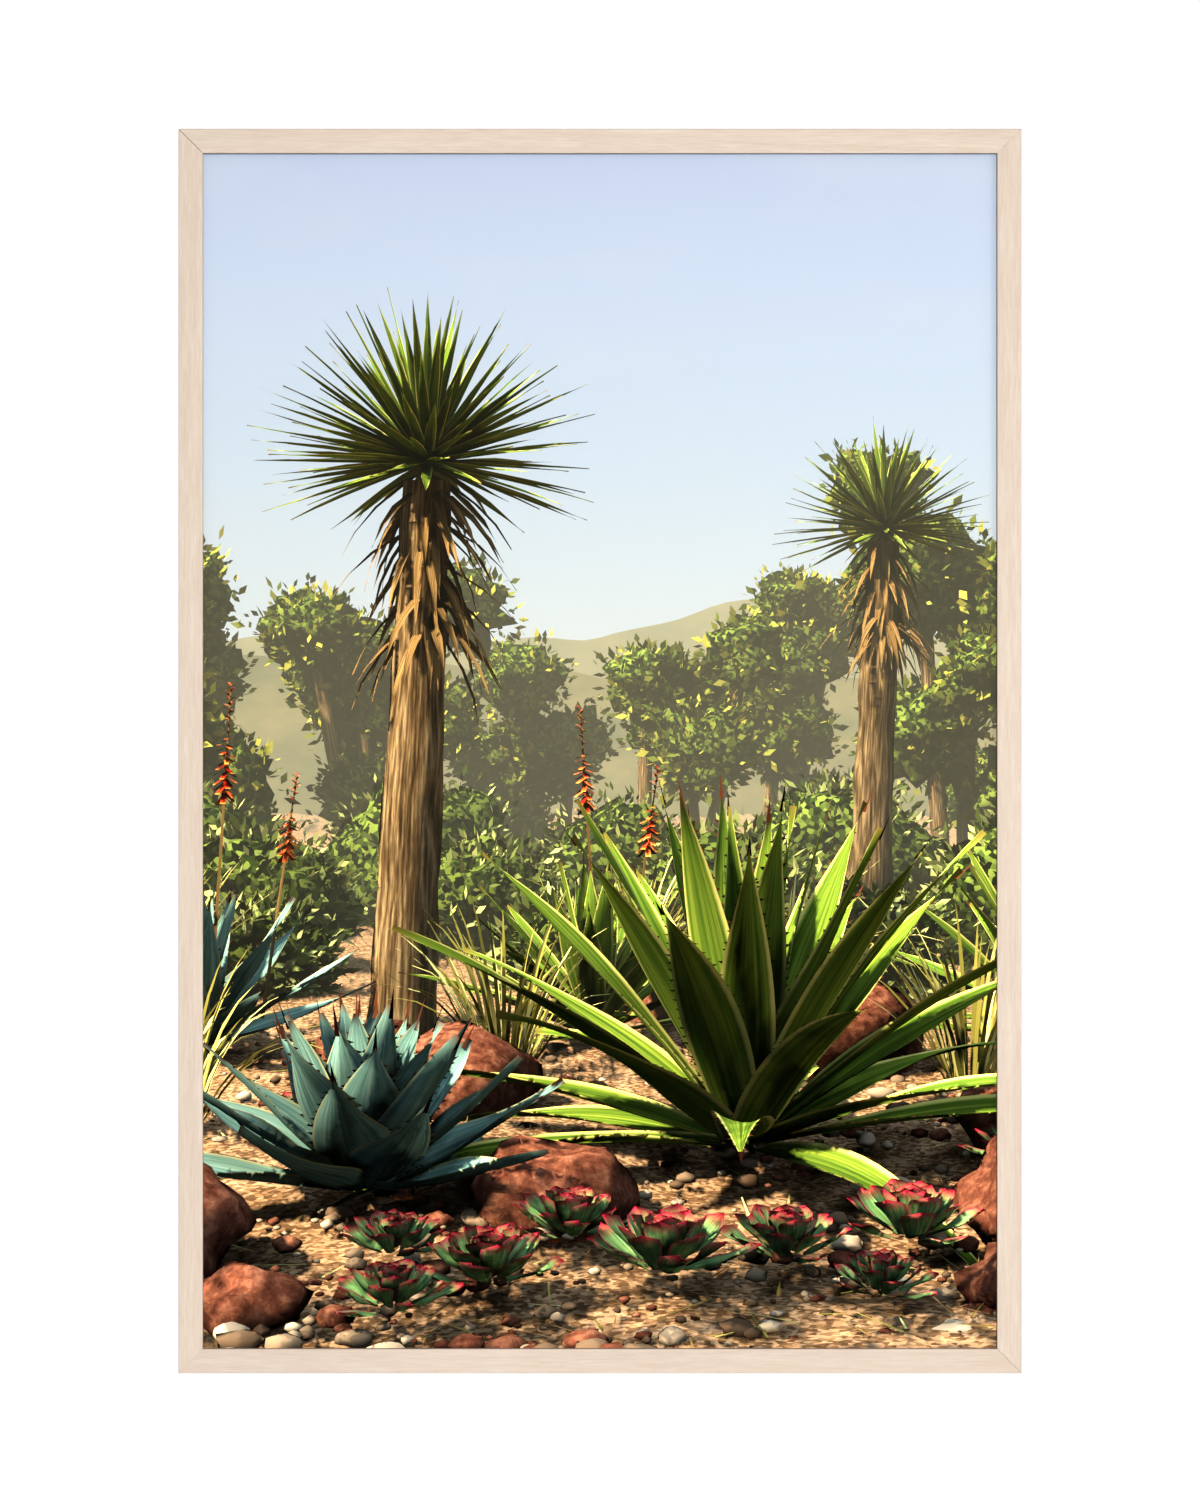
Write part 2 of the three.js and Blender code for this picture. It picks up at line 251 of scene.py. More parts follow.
# Matt paint has no sheen, so the floor only shows the light that falls on it.
floor_finish, tree, shader = new_material("matt_white_floor_paint")
shader.inputs["Base Color"].default_value = linear("#F4F3F1")
shader.inputs["Roughness"].default_value = 0.9
place = add_node(tree, "ShaderNodeTexCoord")
reach = add_node(tree, "ShaderNodeVectorMath", {0: place.outputs["Object"]}, operation="LENGTH")
fade = add_node(tree, "ShaderNodeMapRange", {
    "Value": reach.outputs["Value"],
    "From Min": FLOOR_RADIUS * FADE_START,
    "From Max": FLOOR_RADIUS,
    "To Min": CLEAR_SHARE,
}, interpolation_type="SMOOTHSTEP")
clear = add_node(tree, "ShaderNodeBsdfTransparent")
blend = add_node(tree, "ShaderNodeMixShader", {"Fac": fade.outputs[0]})
tree.links.new(shader.outputs[0], blend.inputs[1])
tree.links.new(clear.outputs[0], blend.inputs[2])
tree.links.new(blend.outputs[0], tree.nodes["Material Output"].inputs["Surface"])
floor.data.materials.append(floor_finish)
floor.visible_glossy = False
print("floor", round(rail_low.z - floor.location.z, 2), "m below the frame")

# %% [markdown]
# ## The wood
# The moulding is a pale, close-grained hardwood such as ramin or maple, planed, sanded and given a
# thin matt coat. To the eye that is a warm cream with very little contrast: short fine lines along
# the grain, a few soft broader bands, and paler flames where the fibres tip towards the light. A
# pattern in room coordinates would cut straight across a mitre, but real grain runs along each
# rail. So every rail carries its own grain coordinates in metres, written on its mesh, and one
# material serves all four.

# %% Grain patterns
CREAM = "#E4D6C6"
# (length along the grain, width across it, detail, distortion, seed, darkening as a colour ramp)
GRAIN_PATTERNS = (
    (150 * MM, 6 * MM, 2.0, 0.4, 3.0, [(0.32, "#F8F6F5"), (0.68, "#FFFFFF")]),
    (42 * MM, 5 * MM, 3.0, 0.9, 23.0, [(0.46, "#FBF7F4"), (0.72, "#FFFFFF")]),
    (16 * MM, 0.8 * MM, 3.0, 0.5, 11.0, [(0.36, "#F5F2F0"), (0.62, "#FFFFFF")]),
)

# %% Wood finish
WOOD_IOR = 1.5
RELIEF = 0.05 * MM


def sanded_hardwood():
    """Sanded pale hardwood with a thin matt coat: soft wide highlights, duller in the pores."""
    material, tree, shader = new_material("sanded_pale_hardwood")
    grain = add_node(tree, "ShaderNodeAttribute", attribute_name="grain")
    # The board tone carries each rail's own tone, with painted shade and highlights on its edges.
    board = add_node(tree, "ShaderNodeAttribute", attribute_name="board")
    tone = add_node(tree, "ShaderNodeMix", {
        0: 1.0,
        6: board.outputs["Fac"],
        7: linear(CREAM),
    }, **MULTIPLY)
    for length, width, detail, distortion, seed, darkening in GRAIN_PATTERNS:
        stretched = add_node(tree, "ShaderNodeMapping", {
            "Vector": grain.outputs["Vector"],
            "Location": (seed, seed, seed),
            "Scale": (1 / length, 1 / width, 1 / width),
        })
        fibres = add_node(tree, "ShaderNodeTexNoise", {
            "Vector": stretched.outputs[0],
            "Scale": 1.0,
            "Detail": detail,
            "Roughness": 0.55,
            "Distortion": distortion,
        })
        shading = add_node(tree, "ShaderNodeValToRGB", {
            "Fac": fibres.outputs["Fac"],
        }, stops=darkening)
        tone = add_node(tree, "ShaderNodeMix", {
            0: 1.0,
            6: tone.outputs[2],
            7: shading.outputs[0],
        }, **MULTIPLY)
    tree.links.new(tone.outputs[2], shader.inputs["Base Color"])
    polish = add_node(tree, "ShaderNodeMapRange", {
        "Value": fibres.outputs["Fac"],
        "To Min": 0.62,
        "To Max": 0.50,
    })
    tree.links.new(polish.outputs[0], shader.inputs["Roughness"])
    relief = add_node(tree, "ShaderNodeBump", {
        "Height": fibres.outputs["Fac"],
        "Strength": 0.12,
        "Distance": RELIEF,
    })
    tree.links.new(relief.outputs[0], shader.inputs["Normal"])
    shader.inputs["IOR"].default_value = WOOD_IOR
    shader.inputs["Specular IOR Level"].default_value = 0.3
    return material


wood = sanded_hardwood()
print("wood nodes:", len(wood.node_tree.nodes))

# %% [markdown]
# ## The rails
# Each rail is one length of moulding: a section with eased front edges, a lip that covers the edge
# of the picture and a rebate behind it, cut at 45 degrees at both ends. A cube with modifiers
# could stand for it, but then the section would be guessed. Here the section is drawn point by
# point with true arcs, run along the rail, and its ends are sheared to the mitre. The holes for
# the fixings are cut out with booleans, and a very small bevel breaks every sharp edge, as
# sanding does. That bevel is what draws the thin line of each mitre.

# %% Rail sizes
rail_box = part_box("rail_left")
FACE_WIDTH = rail_box[1].x - rail_box[0].x
RAIL_BACK = -rail_box[1].y
RAIL_FRONT = -rail_box[0].y
LIP_BACK = -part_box("glazing")[0].y + 0.25 * MM
SHEET_CLEARANCE = 1 * MM
REBATE_INSET = (sheet_low.x - rail_box[0].x) - SHEET_CLEARANCE
EASED_EDGE = 0.8 * MM
EASED_STEPS = 8
SANDED_EDGE = 0.13 * MM
RAIL_DEPTH = RAIL_FRONT - RAIL_BACK
print("moulding, mm:", round(FACE_WIDTH / MM, 2), "wide,", round(RAIL_DEPTH / MM, 2), "deep")

# %% Corners and their joints
# Each side's corners, first the one at the start of its rail and then the one at its end.
CORNERS = {
    "bottom": ("bottom_left", "bottom_right"),
    "left": ("top_left", "bottom_left"),
    "top": ("top_right", "top_left"),
    "right": ("bottom_right", "top_right"),
}
# No two mitres close alike: one gapes a little, and one hardly shows.
MITRE_GAPS = {
    "top_left": 0.34 * MM,
    "top_right": 0.04 * MM,
    "bottom_left": 0.02 * MM,
    "bottom_right": 0.18 * MM,
}


# %% Section of the moulding
def moulding_section():
    """Points as (distance in from the outer edge, distance off the wall), once round."""
    points = [(0.0, RAIL_BACK), (REBATE_INSET, RAIL_BACK)]
    points += [(REBATE_INSET, LIP_BACK), (FACE_WIDTH, LIP_BACK)]
    corners = ((FACE_WIDTH - EASED_EDGE, 0.0), (EASED_EDGE, math.pi / 2))
    for across, start in corners:
        for step in range(EASED_STEPS + 1):
            angle = start + step / EASED_STEPS * math.pi / 2
            inset = across + EASED_EDGE * math.cos(angle)
            points.append((inset, RAIL_FRONT - EASED_EDGE + EASED_EDGE * math.sin(angle)))
    return points


# %% Meshes from points
def mesh_object(name, points, faces):
    """A new object whose mesh has these points, in metres, and faces."""
    mesh = bpy.data.meshes.new(name)
    mesh.from_pydata([tuple(point) for point in points], [], faces)
    made = bpy.data.objects.new(name, mesh)
    scene.collection.objects.link(made)
    return made


def prism(name, points):
    """A closed piece between two outlines with as many points each, given one after the other."""
    count = len(points) // 2
    faces = [list(range(count))[::-1], list(range(count, 2 * count))]
    for i in range(count):
        after = (i + 1) % count
        faces.append([i, after, count + after, count + i])
    made = mesh_object(name, points, faces)
    solid = bmesh.new()
    solid.from_mesh(made.data)
    bmesh.ops.recalc_face_normals(solid, faces=solid.faces)
    solid.to_mesh(made.data)
    solid.free()
    return made


def finish_piece(piece, material, slot, *stands_for):
    """Gives a piece its finish, lets it ride on the only body and hides the nodes it stands for."""
    if material is not None:
        piece.data.materials.clear()
        piece.data.materials.append(material)
    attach(piece, "root")
    if stands_for:
        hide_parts(*stands_for)


# %% A rail with its mitred ends
def rail_frame(side):
    """(outer middle, along, inwards, half length) of a side's rail, in the plane of the wall."""
    outer_x, half = -rail_box[0].x, frame_height / 2
    places = {
        "bottom": ((0, 0, rail_low.z), (1, 0, 0), (0, 0, 1), outer_x),
        "top": ((0, 0, rail_high.z), (-1, 0, 0), (0, 0, -1), outer_x),
        "left": ((-outer_x, 0, centre.z), (0, 0, -1), (1, 0, 0), half),
        "right": ((outer_x, 0, centre.z), (0, 0, 1), (-1, 0, 0), half),
    }
    origin, along, inwards, half_length = places[side]
    return Vector(origin), Vector(along), Vector(inwards), half_length


def rail_mesh(side):
    """The rail of a side as one closed mesh."""
    origin, along, inwards, half_length = rail_frame(side)
    points = []
    for end, corner in zip((-1, 1), CORNERS[side]):
        for inset, off_wall in moulding_section():
            reach = end * (half_length - inset - MITRE_GAPS[corner] / math.sqrt(2))
            points.append(origin + along * reach + inwards * inset + Vector((0, -off_wall, 0)))
    return prism("wood_rail_" + side, points)


# %% Shapes that cut the holes
# Corners closer than this are one, faces that turn less than this are one, and normals whose dot
# product is over this point the same way.
WELD = 0.001 * MM
FLAT_ANGLE = 0.01
SAME_WAY = 0.9


def grown_box(node, grow):
    """A block round a node, larger by grow on each side."""
    low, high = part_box(node)
    corners = []
    for z in (low.z - grow, high.z + grow):
        for y in (low.y - grow, high.y + grow):
            for x in (low.x - grow, high.x + grow):
                corners.append((x, y, z))
    faces = [(0, 2, 3, 1), (4, 5, 7, 6), (0, 1, 5, 4), (2, 6, 7, 3), (0, 4, 6, 2), (1, 3, 7, 5)]
    return mesh_object("cutter_" + node, corners, faces)


def copy_grown(node, grow, outwards=Vector((0, 0, 0))):
    """A copy of a node's mesh, grown along its normals, with its outer end drawn outwards."""
    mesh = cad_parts[node].data.copy()
    solid = bmesh.new()
    solid.from_mesh(mesh)
    bmesh.ops.remove_doubles(solid, verts=solid.verts, dist=WELD)
    bmesh.ops.dissolve_limit(solid, angle_limit=FLAT_ANGLE, verts=solid.verts, edges=solid.edges)
    solid.normal_update()
    shifts = []
    for vert in solid.verts:
        shift = Vector((0, 0, 0))
        normals = []
        for face in vert.link_faces:
            if all(face.normal.dot(known) < SAME_WAY for known in normals):
                normals.append(face.normal.copy())
                shift += face.normal * grow
        shifts.append(shift)
    for vert, shift in zip(solid.verts, shifts):
        vert.co += shift
        if shift.dot(outwards) > 0:
            vert.co += outwards
    solid.to_mesh(mesh)
    solid.free()
    made = bpy.data.objects.new("cutter_" + node, mesh)
    scene.collection.objects.link(made)
    return made


# %% Cutting holes and easing edges
def apply_modifiers(piece):
    """Turns a piece's modifiers into plain mesh."""
    graph = bpy.context.evaluated_depsgraph_get()
    solved = bpy.data.meshes.new_from_object(piece.evaluated_get(graph))
    piece.modifiers.clear()
    piece.data = solved


def cut_holes(piece, cutters):
    """Cuts the cutters out of a piece and removes them."""
    for cutter in cutters:
        hole = piece.modifiers.new("hole", "BOOLEAN")
        hole.operation = "DIFFERENCE"
        hole.solver = "EXACT"
        hole.object = cutter
    apply_modifiers(piece)
    for cutter in cutters:
        bpy.data.objects.remove(cutter)


def ease_edges(piece, width, angle=35, segments=2):
    """Breaks every edge sharper than the angle, as sanding does, and smooths the rest."""
    bevel = piece.modifiers.new("eased", "BEVEL")
    bevel.width = width
    bevel.segments = segments
    bevel.limit_method = "ANGLE"
    bevel.angle_limit = math.radians(angle)
    bevel.harden_normals = True
    piece.data.shade_smooth()


# %% Holes of a rail
FIT = 0.3 * MM
SEAT = 0.25 * MM
TO_BACK = Vector((0, 2 * MM, 0))
node_names = list(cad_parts)


def rail_cutters(side):
    """Pockets for the V nails, slots for the points and pilot holes for the screws of one rail."""
    v_nails = tuple("v_nail_" + corner for corner in CORNERS[side])
    cutters = []
    for node in node_names:
        if node.startswith(v_nails):
            cutters.append(copy_grown(node, FIT, TO_BACK))
        if node.startswith("point_" + side):
            cutters.append(grown_box(node, SEAT))
        if node.startswith("screw_") and side == "top":
            cutters.append(copy_grown(node, SEAT))
    return cutters


# %% Tones of the boards, with painted shade and highlights
# Each rail has its own tone, partly the board's colour and partly painted light that makes a whole
# rail lighter or darker. The inner face of the lip is painted dark as shade, which draws the thin
# dark line round the picture. The rounded edge next to it has a painted highlight, the outer one
# painted shade.
# Tones of whole rails: partly the boards' own colour, partly painted light.
BOARD_TONE = {"bottom": 0.98, "left": 0.948, "top": 0.928, "right": 0.966}
# Painted shade on the lip's inner face, darker on the sides that the light doesn't reach.
PAINTED_LIP_SHADE = {"bottom": 0.45, "left": 0.75, "top": 0.42, "right": 0.36}
# Painted highlight on the rounded inner edge, brightest on the sides that face the light.
PAINTED_EDGE_HIGHLIGHT = {"bottom": 1.0, "left": 1.07, "top": 1.03, "right": 1.05}
# Painted shade on the rounded outer edge, where it turns away from the light.
PAINTED_OUTER_SHADE = {"bottom": 0.85, "left": 0.76, "top": 0.78, "right": 1.0}
LIP_FACE = 0.05 * MM
PAINTED_OUTER_SHADE_WIDTH = 0.5 * MM


def wood_tone(side, inset, off_wall):
    """How pale the wood of a side is at one point of its section, painted shade and highlight
    included.
    """
    rounded = off_wall > RAIL_FRONT - EASED_EDGE + LIP_FACE
    # The inner face of the lip: painted shade.
    if inset > FACE_WIDTH - LIP_FACE:
        return BOARD_TONE[side] * PAINTED_LIP_SHADE[side]
    # The rounded inner edge: painted highlight.
    if rounded and inset > FACE_WIDTH - EASED_EDGE:
        return BOARD_TONE[side] * PAINTED_EDGE_HIGHLIGHT[side]
    # The rounded outer edge: painted shade.
    if rounded and inset < PAINTED_OUTER_SHADE_WIDTH:
        return BOARD_TONE[side] * PAINTED_OUTER_SHADE[side]
    return BOARD_TONE[side]


# %% The four rails
# How far apart the rails lie in the grain pattern, in metres
GRAIN_SHIFT = 2.3


def write_grain(rail, side, start):
    """Stores where each point lies along, across and into the grain, and its tone there, painted
    shade included.
    """
    origin, along, inwards = rail_frame(side)[:3]
    grain = rail.data.attributes.new("grain", "FLOAT_VECTOR", "POINT")
    tones = []
    for vert, item in zip(rail.data.vertices, grain.data):
        offset = vert.co - origin
        inset = offset.dot(inwards)
        item.vector = (offset.dot(along) + start, inset, -offset.y)
        tones.append(wood_tone(side, inset, -offset.y))
    board = rail.data.attributes.new("board", "FLOAT", "POINT")
    board.data.foreach_set("value", tones)


for number, side in enumerate(("bottom", "left", "top", "right")):
    rail = rail_mesh(side)
    cut_holes(rail, rail_cutters(side))
    ease_edges(rail, SANDED_EDGE)
    apply_modifiers(rail)
    write_grain(rail, side, GRAIN_SHIFT * number)
    finish_piece(rail, wood, "wood", "rail_" + side)
    print(rail.name, len(rail.data.polygons), "faces")

# %% [markdown]
# ## Glue in the mitres
# The mitres are glued, and a film of glue fills each joint to just below the surface. Left out, a
# joint that gapes would let the daylight through from some sides. The film could be a flag on the
# rails' ends. As a thin sheet of its own it stays simple, and it turns the gap the brown of old
# glue.

# %% Glue films
FILM_DEPTH = 0.6 * MM
FILM_BITE = 0.1 * MM
DUST_SPECK = 2 * MM


def dried_glue():
    """Dried wood glue: amber, darkened by the dust of the joint."""
    material, tree, shader = new_material("dried_wood_glue")
    place = add_node(tree, "ShaderNodeTexCoord")
    dust = add_node(tree, "ShaderNodeTexNoise", {
        "Vector": place.outputs["Object"],
        "Scale": 1 / DUST_SPECK,
    })
    amber = add_node(tree, "ShaderNodeValToRGB", {"Fac": dust.outputs["Fac"]}, stops=[
        (0.35, "#4E3B2A"),
        (0.65, "#6B543D"),
    ])
    tree.links.new(amber.outputs[0], shader.inputs["Base Color"])
    shader.inputs["Roughness"].default_value = 0.5
    return material


def glue_film(corner):
    """A thin closed sheet in the plane of a mitre, set back from every surface."""
    top, right = corner.startswith("top"), corner.endswith("right")
    outer_x = -rail_box[0].x
    tip = Vector((outer_x if right else -outer_x, 0, rail_high.z if top else rail_low.z))
    inwards = Vector((-1 if right else 1, 0, -1 if top else 1))
    across = Vector((inwards.x, 0, -inwards.z)).normalized() * (MITRE_GAPS[corner] / 2 + FILM_BITE)
    step, sight = REBATE_INSET - FILM_DEPTH, FACE_WIDTH - FILM_DEPTH
    back, lip, face = RAIL_BACK + FILM_DEPTH, LIP_BACK + FILM_DEPTH, RAIL_FRONT - FILM_DEPTH
    outline = [(FILM_DEPTH, back), (step, back), (step, lip)]
    outline += [(sight, lip), (sight, face), (FILM_DEPTH, face)]
    points = []
    for shift in (-across, across):
        for inset, off_wall in outline:
            points.append(tip + inwards * inset + Vector((0, -off_wall, 0)) + shift)
    return prism("glue_" + corner, points)


glue = dried_glue()
for corner in MITRE_GAPS:
    finish_piece(glue_film(corner), glue, "wood")
print("glue films:", len(MITRE_GAPS))

# %% [markdown]
# ## The picture: a dry garden in the sun
# A photograph on paper is only colour, but it needs a subject that holds together: one light, one
# viewpoint, real overlaps. It could be painted with texture noise alone, and then it would not
# read as a photograph. Here a small garden is modelled as plain points and triangles, seen from
# one eye point, and flattened on the sheet. What the sheet keeps is each part's outline, its own
# pattern coordinates and the daylight that falls on it. The garden itself is never an object.
#
# The eye stands 0.8 m above the ground. FOCAL is how far behind a window of the sheet's size it
# stands, and HORIZON is how far above the sheet's middle the horizon falls. Distances in the garden
# are metres from the eye, x to the right, y away and z up.

# %% The garden's store of points and triangles
EYE = Vector((0, 0, 0.8))
FOCAL = 1.365
HORIZON = -0.02
INKS = [
    "sky", "hill", "tree", "mound", "sword", "blue", "rosette", "grass", "flower",
    "dry", "bark", "stone", "pebble", "sand", "spine", "shade", "bare",
]

dice = random.Random(7)
garden_points = []
garden_marks = []
garden_faces = []
face_ink = []
face_piece = []
piece_starts = []
diagonals = set()


def plant(points, marks, faces, ink):
    """Adds one piece: its points, their (across, along) marks and its triangles or quads."""
    start = len(garden_points)
    seed = dice.random()
    garden_points.extend(points)
    garden_marks.extend((across, along, seed) for across, along in marks)
    for face in faces:
        for i in range(1, len(face) - 1):
            garden_faces.append((start + face[0], start + face[i], start + face[i + 1]))
            face_ink.append(INKS.index(ink))
            face_piece.append(len(piece_starts))
        if len(face) == 4:
            diagonals.add(tuple(sorted((start + face[0], start + face[2]))))
    piece_starts.append(start)


def strip(foot, across, tip, tip_across, ink):
    """A flat strip from foot to tip, each end as wide as twice its across vector."""
    points = [foot - across, foot + across, tip + tip_across, tip - tip_across]
    plant(points, [(-1, 0), (1, 0), (1, 1), (-1, 1)], [(0, 1, 2, 3)], ink)


def thorn(left, right, tip):
    """One small dark triangle."""
    plant([left, right, tip], [(0, 0), (0, 0), (0, 1)], [(0, 1, 2)], "spine")


# %% [markdown]
# ### Leaves
# Nearly everything that grows here is a rosette of leaves, so one leaf shape is enough. A flat card
# would be quicker, but it would take the light in one tone. This leaf follows an arc, has a width
# profile, and is channelled, with its margins raised, so that one half is lit and the other shaded.
# Teeth and a dark end spine are small triangles of their own.

# %% Widths of leaves
def spear(t):
    """Width of a sword leaf along its length: broad low down, then a long taper."""
    return math.sin(math.pi * (0.2 + 0.8 * t)) ** 1.15 * (1 - 0.25 * t)


def spoon(t):
    """Width of a spoon leaf: widest near the end, with a short point."""
    return (0.35 + 0.75 * t) * min(1.0, 5.5 * (1 - t)) ** 0.6


def blade(t):
    """Width of a narrow leaf: even, then pointed."""
    return min(1.0, 0.5 + 4 * t) * min(1.0, 2.2 * (1 - t))


# %% Teeth and end spine of a leaf
# Sizes are shares of the leaf's width, and the first tooth and the stretch with teeth are shares of
# its length.
FIRST_TOOTH = 0.08
TOOTHED_STRETCH = 0.84
TOOTH_SIZE = 0.045
TOOTH_REACH = 1.3
TOOTH_ROOT = 0.6
SPINE_REACH = 0.3
SPINE_ROOT = 0.16
SPINE_WIDTH = 0.035


def leaf_teeth(margins, side, width, teeth):
    """Teeth along both margins of a leaf; a margin row is (left, right, forward)."""
    rows = len(margins) - 1
    for k in range(teeth):
        place = FIRST_TOOTH + TOOTHED_STRETCH * (k + dice.uniform(0, 0.5)) / teeth
        row = min(int(place * rows), rows - 2)
        blend = place * rows - row
        for which, sign in ((0, -1), (1, 1)):
            low, high = margins[row][which], margins[row + 1][which]
            foot = low.lerp(high, blend)
            run = (high - low).normalized()
            size = TOOTH_SIZE * width * dice.uniform(0.8, 1.3)
            hook = run * (size * dice.uniform(-0.3, 0.9))
            tip = foot + side * (sign * size * TOOTH_REACH) + hook
            thorn(foot - run * size * TOOTH_ROOT, foot + run * size * TOOTH_ROOT, tip)


def end_spine(tip, forward, side, width):
    """The dark spine at the end of a leaf."""
    back = tip - forward * (SPINE_ROOT * width)
    root = side * (SPINE_WIDTH * width)
    thorn(back - root, back + root, tip + forward * (SPINE_REACH * width))


# %% One leaf
# A leaf bends mostly towards its tip, and its margins wave a little.
LATE_BEND = 1.6
RIPPLE = 0.06
RIPPLE_TURNS = 7
ANY_TURN = (0, 6.28)


def leaf(base, heading, tilt, bend, length, width, ink, profile=spear, rows=10, lanes=4,
         channel=0.3, teeth=0):
    """A leaf from base; tilt is its angle above level in degrees, bend what it gains to the tip."""
    out = Vector((math.cos(heading), math.sin(heading), 0))
    side = Vector((-out.y, out.x, 0))
    wave = dice.uniform(*ANY_TURN)
    points, marks, margins = [], [], []
    spot = Vector(base)
    for row in range(rows + 1):
        t = row / rows
        angle = math.radians(tilt + bend * t ** LATE_BEND)
        forward = out * math.cos(angle) + Vector((0, 0, math.sin(angle)))
        face_up = Vector((0, 0, math.cos(angle))) - out * math.sin(angle)
        half = width / 2 * profile(t)
        ripple = face_up * (RIPPLE * width * math.sin(wave + RIPPLE_TURNS * t))
        for lane in range(lanes + 1):
            s = 2 * lane / lanes - 1
            points.append(spot + side * (half * s) + face_up * (channel * half * s * s) + ripple * s)
            marks.append((s, t))
        margins.append((points[-lanes - 1], points[-1], forward))
        spot = spot + forward * (length / rows)
    faces = []
    for row in range(rows):
        for lane in range(lanes):
            a = row * (lanes + 1) + lane
            faces.append((a, a + 1, a + lanes + 2, a + lanes + 1))
    plant(points, marks, faces, ink)
    if teeth:
        leaf_teeth(margins, side, width, teeth)
        end_spine(points[-1], margins[-1][2], side, width)


# %% Rosettes of leaves
GOLDEN_ANGLE = math.radians(137.508)


def rosette(centre_xy, count, length, width, ink, low=6, high=80, bend=(-22, 6), core=0.05,
            lift=0.03, inner=0.75, turn=0.0, **shape):
    """Leaves in a spiral, the oldest lowest and outermost."""
    for i in range(count):
        age = i / (count - 1)
        heading = turn + i * GOLDEN_ANGLE + dice.uniform(-0.08, 0.08)
        tilt = low + (high - low) * age ** 0.9 + dice.uniform(-4, 4)
        reach = length * (1 + (inner - 1) * age) * dice.uniform(0.93, 1.06)
        out = core * (1 - age)
        x = centre_xy[0] + out * math.cos(heading)
        y = centre_xy[1] + out * math.sin(heading)
        base = (x, y, lift + core * 0.8 * age)
        curve = bend[0] + (bend[1] - bend[0]) * age + dice.uniform(-5, 5)
        leaf(base, heading, tilt, curve, reach, width * dice.uniform(0.92, 1.06), ink, **shape)


# %% [markdown]
# ### Stones, stems and foliage
# Stones could be sculpted one by one. Here they are spheres pushed in and out by noise, which makes
# hundreds of them, no two alike. Trees and bushes are round bodies covered in small leaves, with a
# dark core so that no light shows through the middle.

# %% Stones
def ball(detail):
    """Points and faces of a unit icosphere."""
    sphere = bmesh.new()
    bmesh.ops.create_icosphere(sphere, subdivisions=detail, radius=1.0)
    points = [vert.co.copy() for vert in sphere.verts]
    faces = [tuple(vert.index for vert in face.verts) for face in sphere.faces]
    sphere.free()
    return points, faces


BALLS = {detail: ball(detail) for detail in (1, 2, 3, 4)}


def scaled(point, stretch):
    """A point stretched along each axis."""
    return Vector(a * b for a, b in zip(point, stretch))


def stone(x, y, size, flat=0.7, detail=2, ink="stone", rough=0.35):
    """A stone that sits in the ground; size is its radius in metres."""
    unit, faces = BALLS[detail]
    shift = Vector((dice.uniform(0, 50), dice.uniform(0, 50), dice.uniform(0, 50)))
    stretch = Vector((dice.uniform(0.85, 1.3), dice.uniform(0.85, 1.2), flat))
    points = []
    for point in unit:
        lump = noise.noise(point * 1.3 + shift)
        lump += 0.5 * abs(noise.noise(point * 3.1 + shift))
        lump += 0.2 * noise.noise(point * 7 + shift)
        radius = size * (1 + rough * lump)
        points.append(Vector((x, y, size * flat * 0.45)) + scaled(point, stretch) * radius)
    plant(points, [(point.x, point.z) for point in unit], faces, ink)


# %% Stems
def trunk(x, y, height, radius, lean=0.0, sides=14, rows=26):
    """A lumpy, slightly leaning stem, wider at its foot."""
    points, marks, faces = [], [], []
    for row in range(rows + 1):
        t = row / rows
        wide = radius * (1.3 - 0.45 * t + 0.1 * noise.noise(Vector((row * 0.4, x, 2))))
        for k in range(sides):
            turn = 2 * math.pi * k / sides
            place = Vector((2 * math.cos(turn), 2 * math.sin(turn), row * 0.3 + x))
            bump = 1 + 0.16 * noise.noise(place)
            east = x + lean * t + wide * bump * math.cos(turn)
            points.append(Vector((east, y + wide * bump * math.sin(turn), height * t)))
            marks.append((1.3 * math.cos(turn), t * height * 5))
    for row in range(rows):
        for k in range(sides):
            here, after = row * sides + k, row * sides + (k + 1) % sides
            faces.append((here, after, after + sides, here + sides))
    plant(points, marks, faces, "bark")


# %% Foliage
# (leaves on each body, their length, their half width as a share of it)
TREE_LEAVES = (170, 0.09, 0.26)
BUSH_LEAVES = (520, 0.07, 0.18)
OVERHEAD_LEAVES = (110, 0.13, 0.2)
CORE_SHARE = 0.92
bodies = []


def swelling(way, middle, lumps):
    """How far a lumpy round body reaches in one direction, as a share of its radius."""
    return 0.80 + lumps * noise.noise(way * 2.2 + middle * 3) + 0.18 * noise.noise(way * 6 + middle)


def leaf_cover(middle, radii, leaves, ink, lumps, solid):
    """Small leaves over a lumpy round body; on a solid one, none where the eye can't see."""
    count, size, slim = leaves
    for k in range(count):
        z = 1 - (2 * k + 1) / count
        level = math.sqrt(1 - z * z)
        turn = k * GOLDEN_ANGLE + dice.uniform(-0.3, 0.3)
        way = Vector((level * math.cos(turn), level * math.sin(turn), z))
        if way.y > 0.3 and solid:
            continue
        depth = dice.uniform(0.0, 0.06)
        foot = middle + scaled(way, radii) * (swelling(way, middle, lumps) - depth)
        grow = way + Vector((dice.gauss(0, 0.6), dice.gauss(0, 0.6), dice.gauss(0.3, 0.5)))
        grow = grow.normalized()
        any_way = Vector((dice.gauss(0, 1), dice.gauss(0, 1), dice.gauss(0, 1)))
        side = grow.cross(any_way).normalized()
        long = size * dice.uniform(0.7, 1.35)
        half = side * long * slim
        broad = foot + grow * long * 0.45
        points = [foot, broad - half, foot + grow * long, broad + half]
        plant(points, [(0, 0), (-1, 0.5), (0, 1), (1, 0.5)], [(0, 1, 2, 3)], ink)


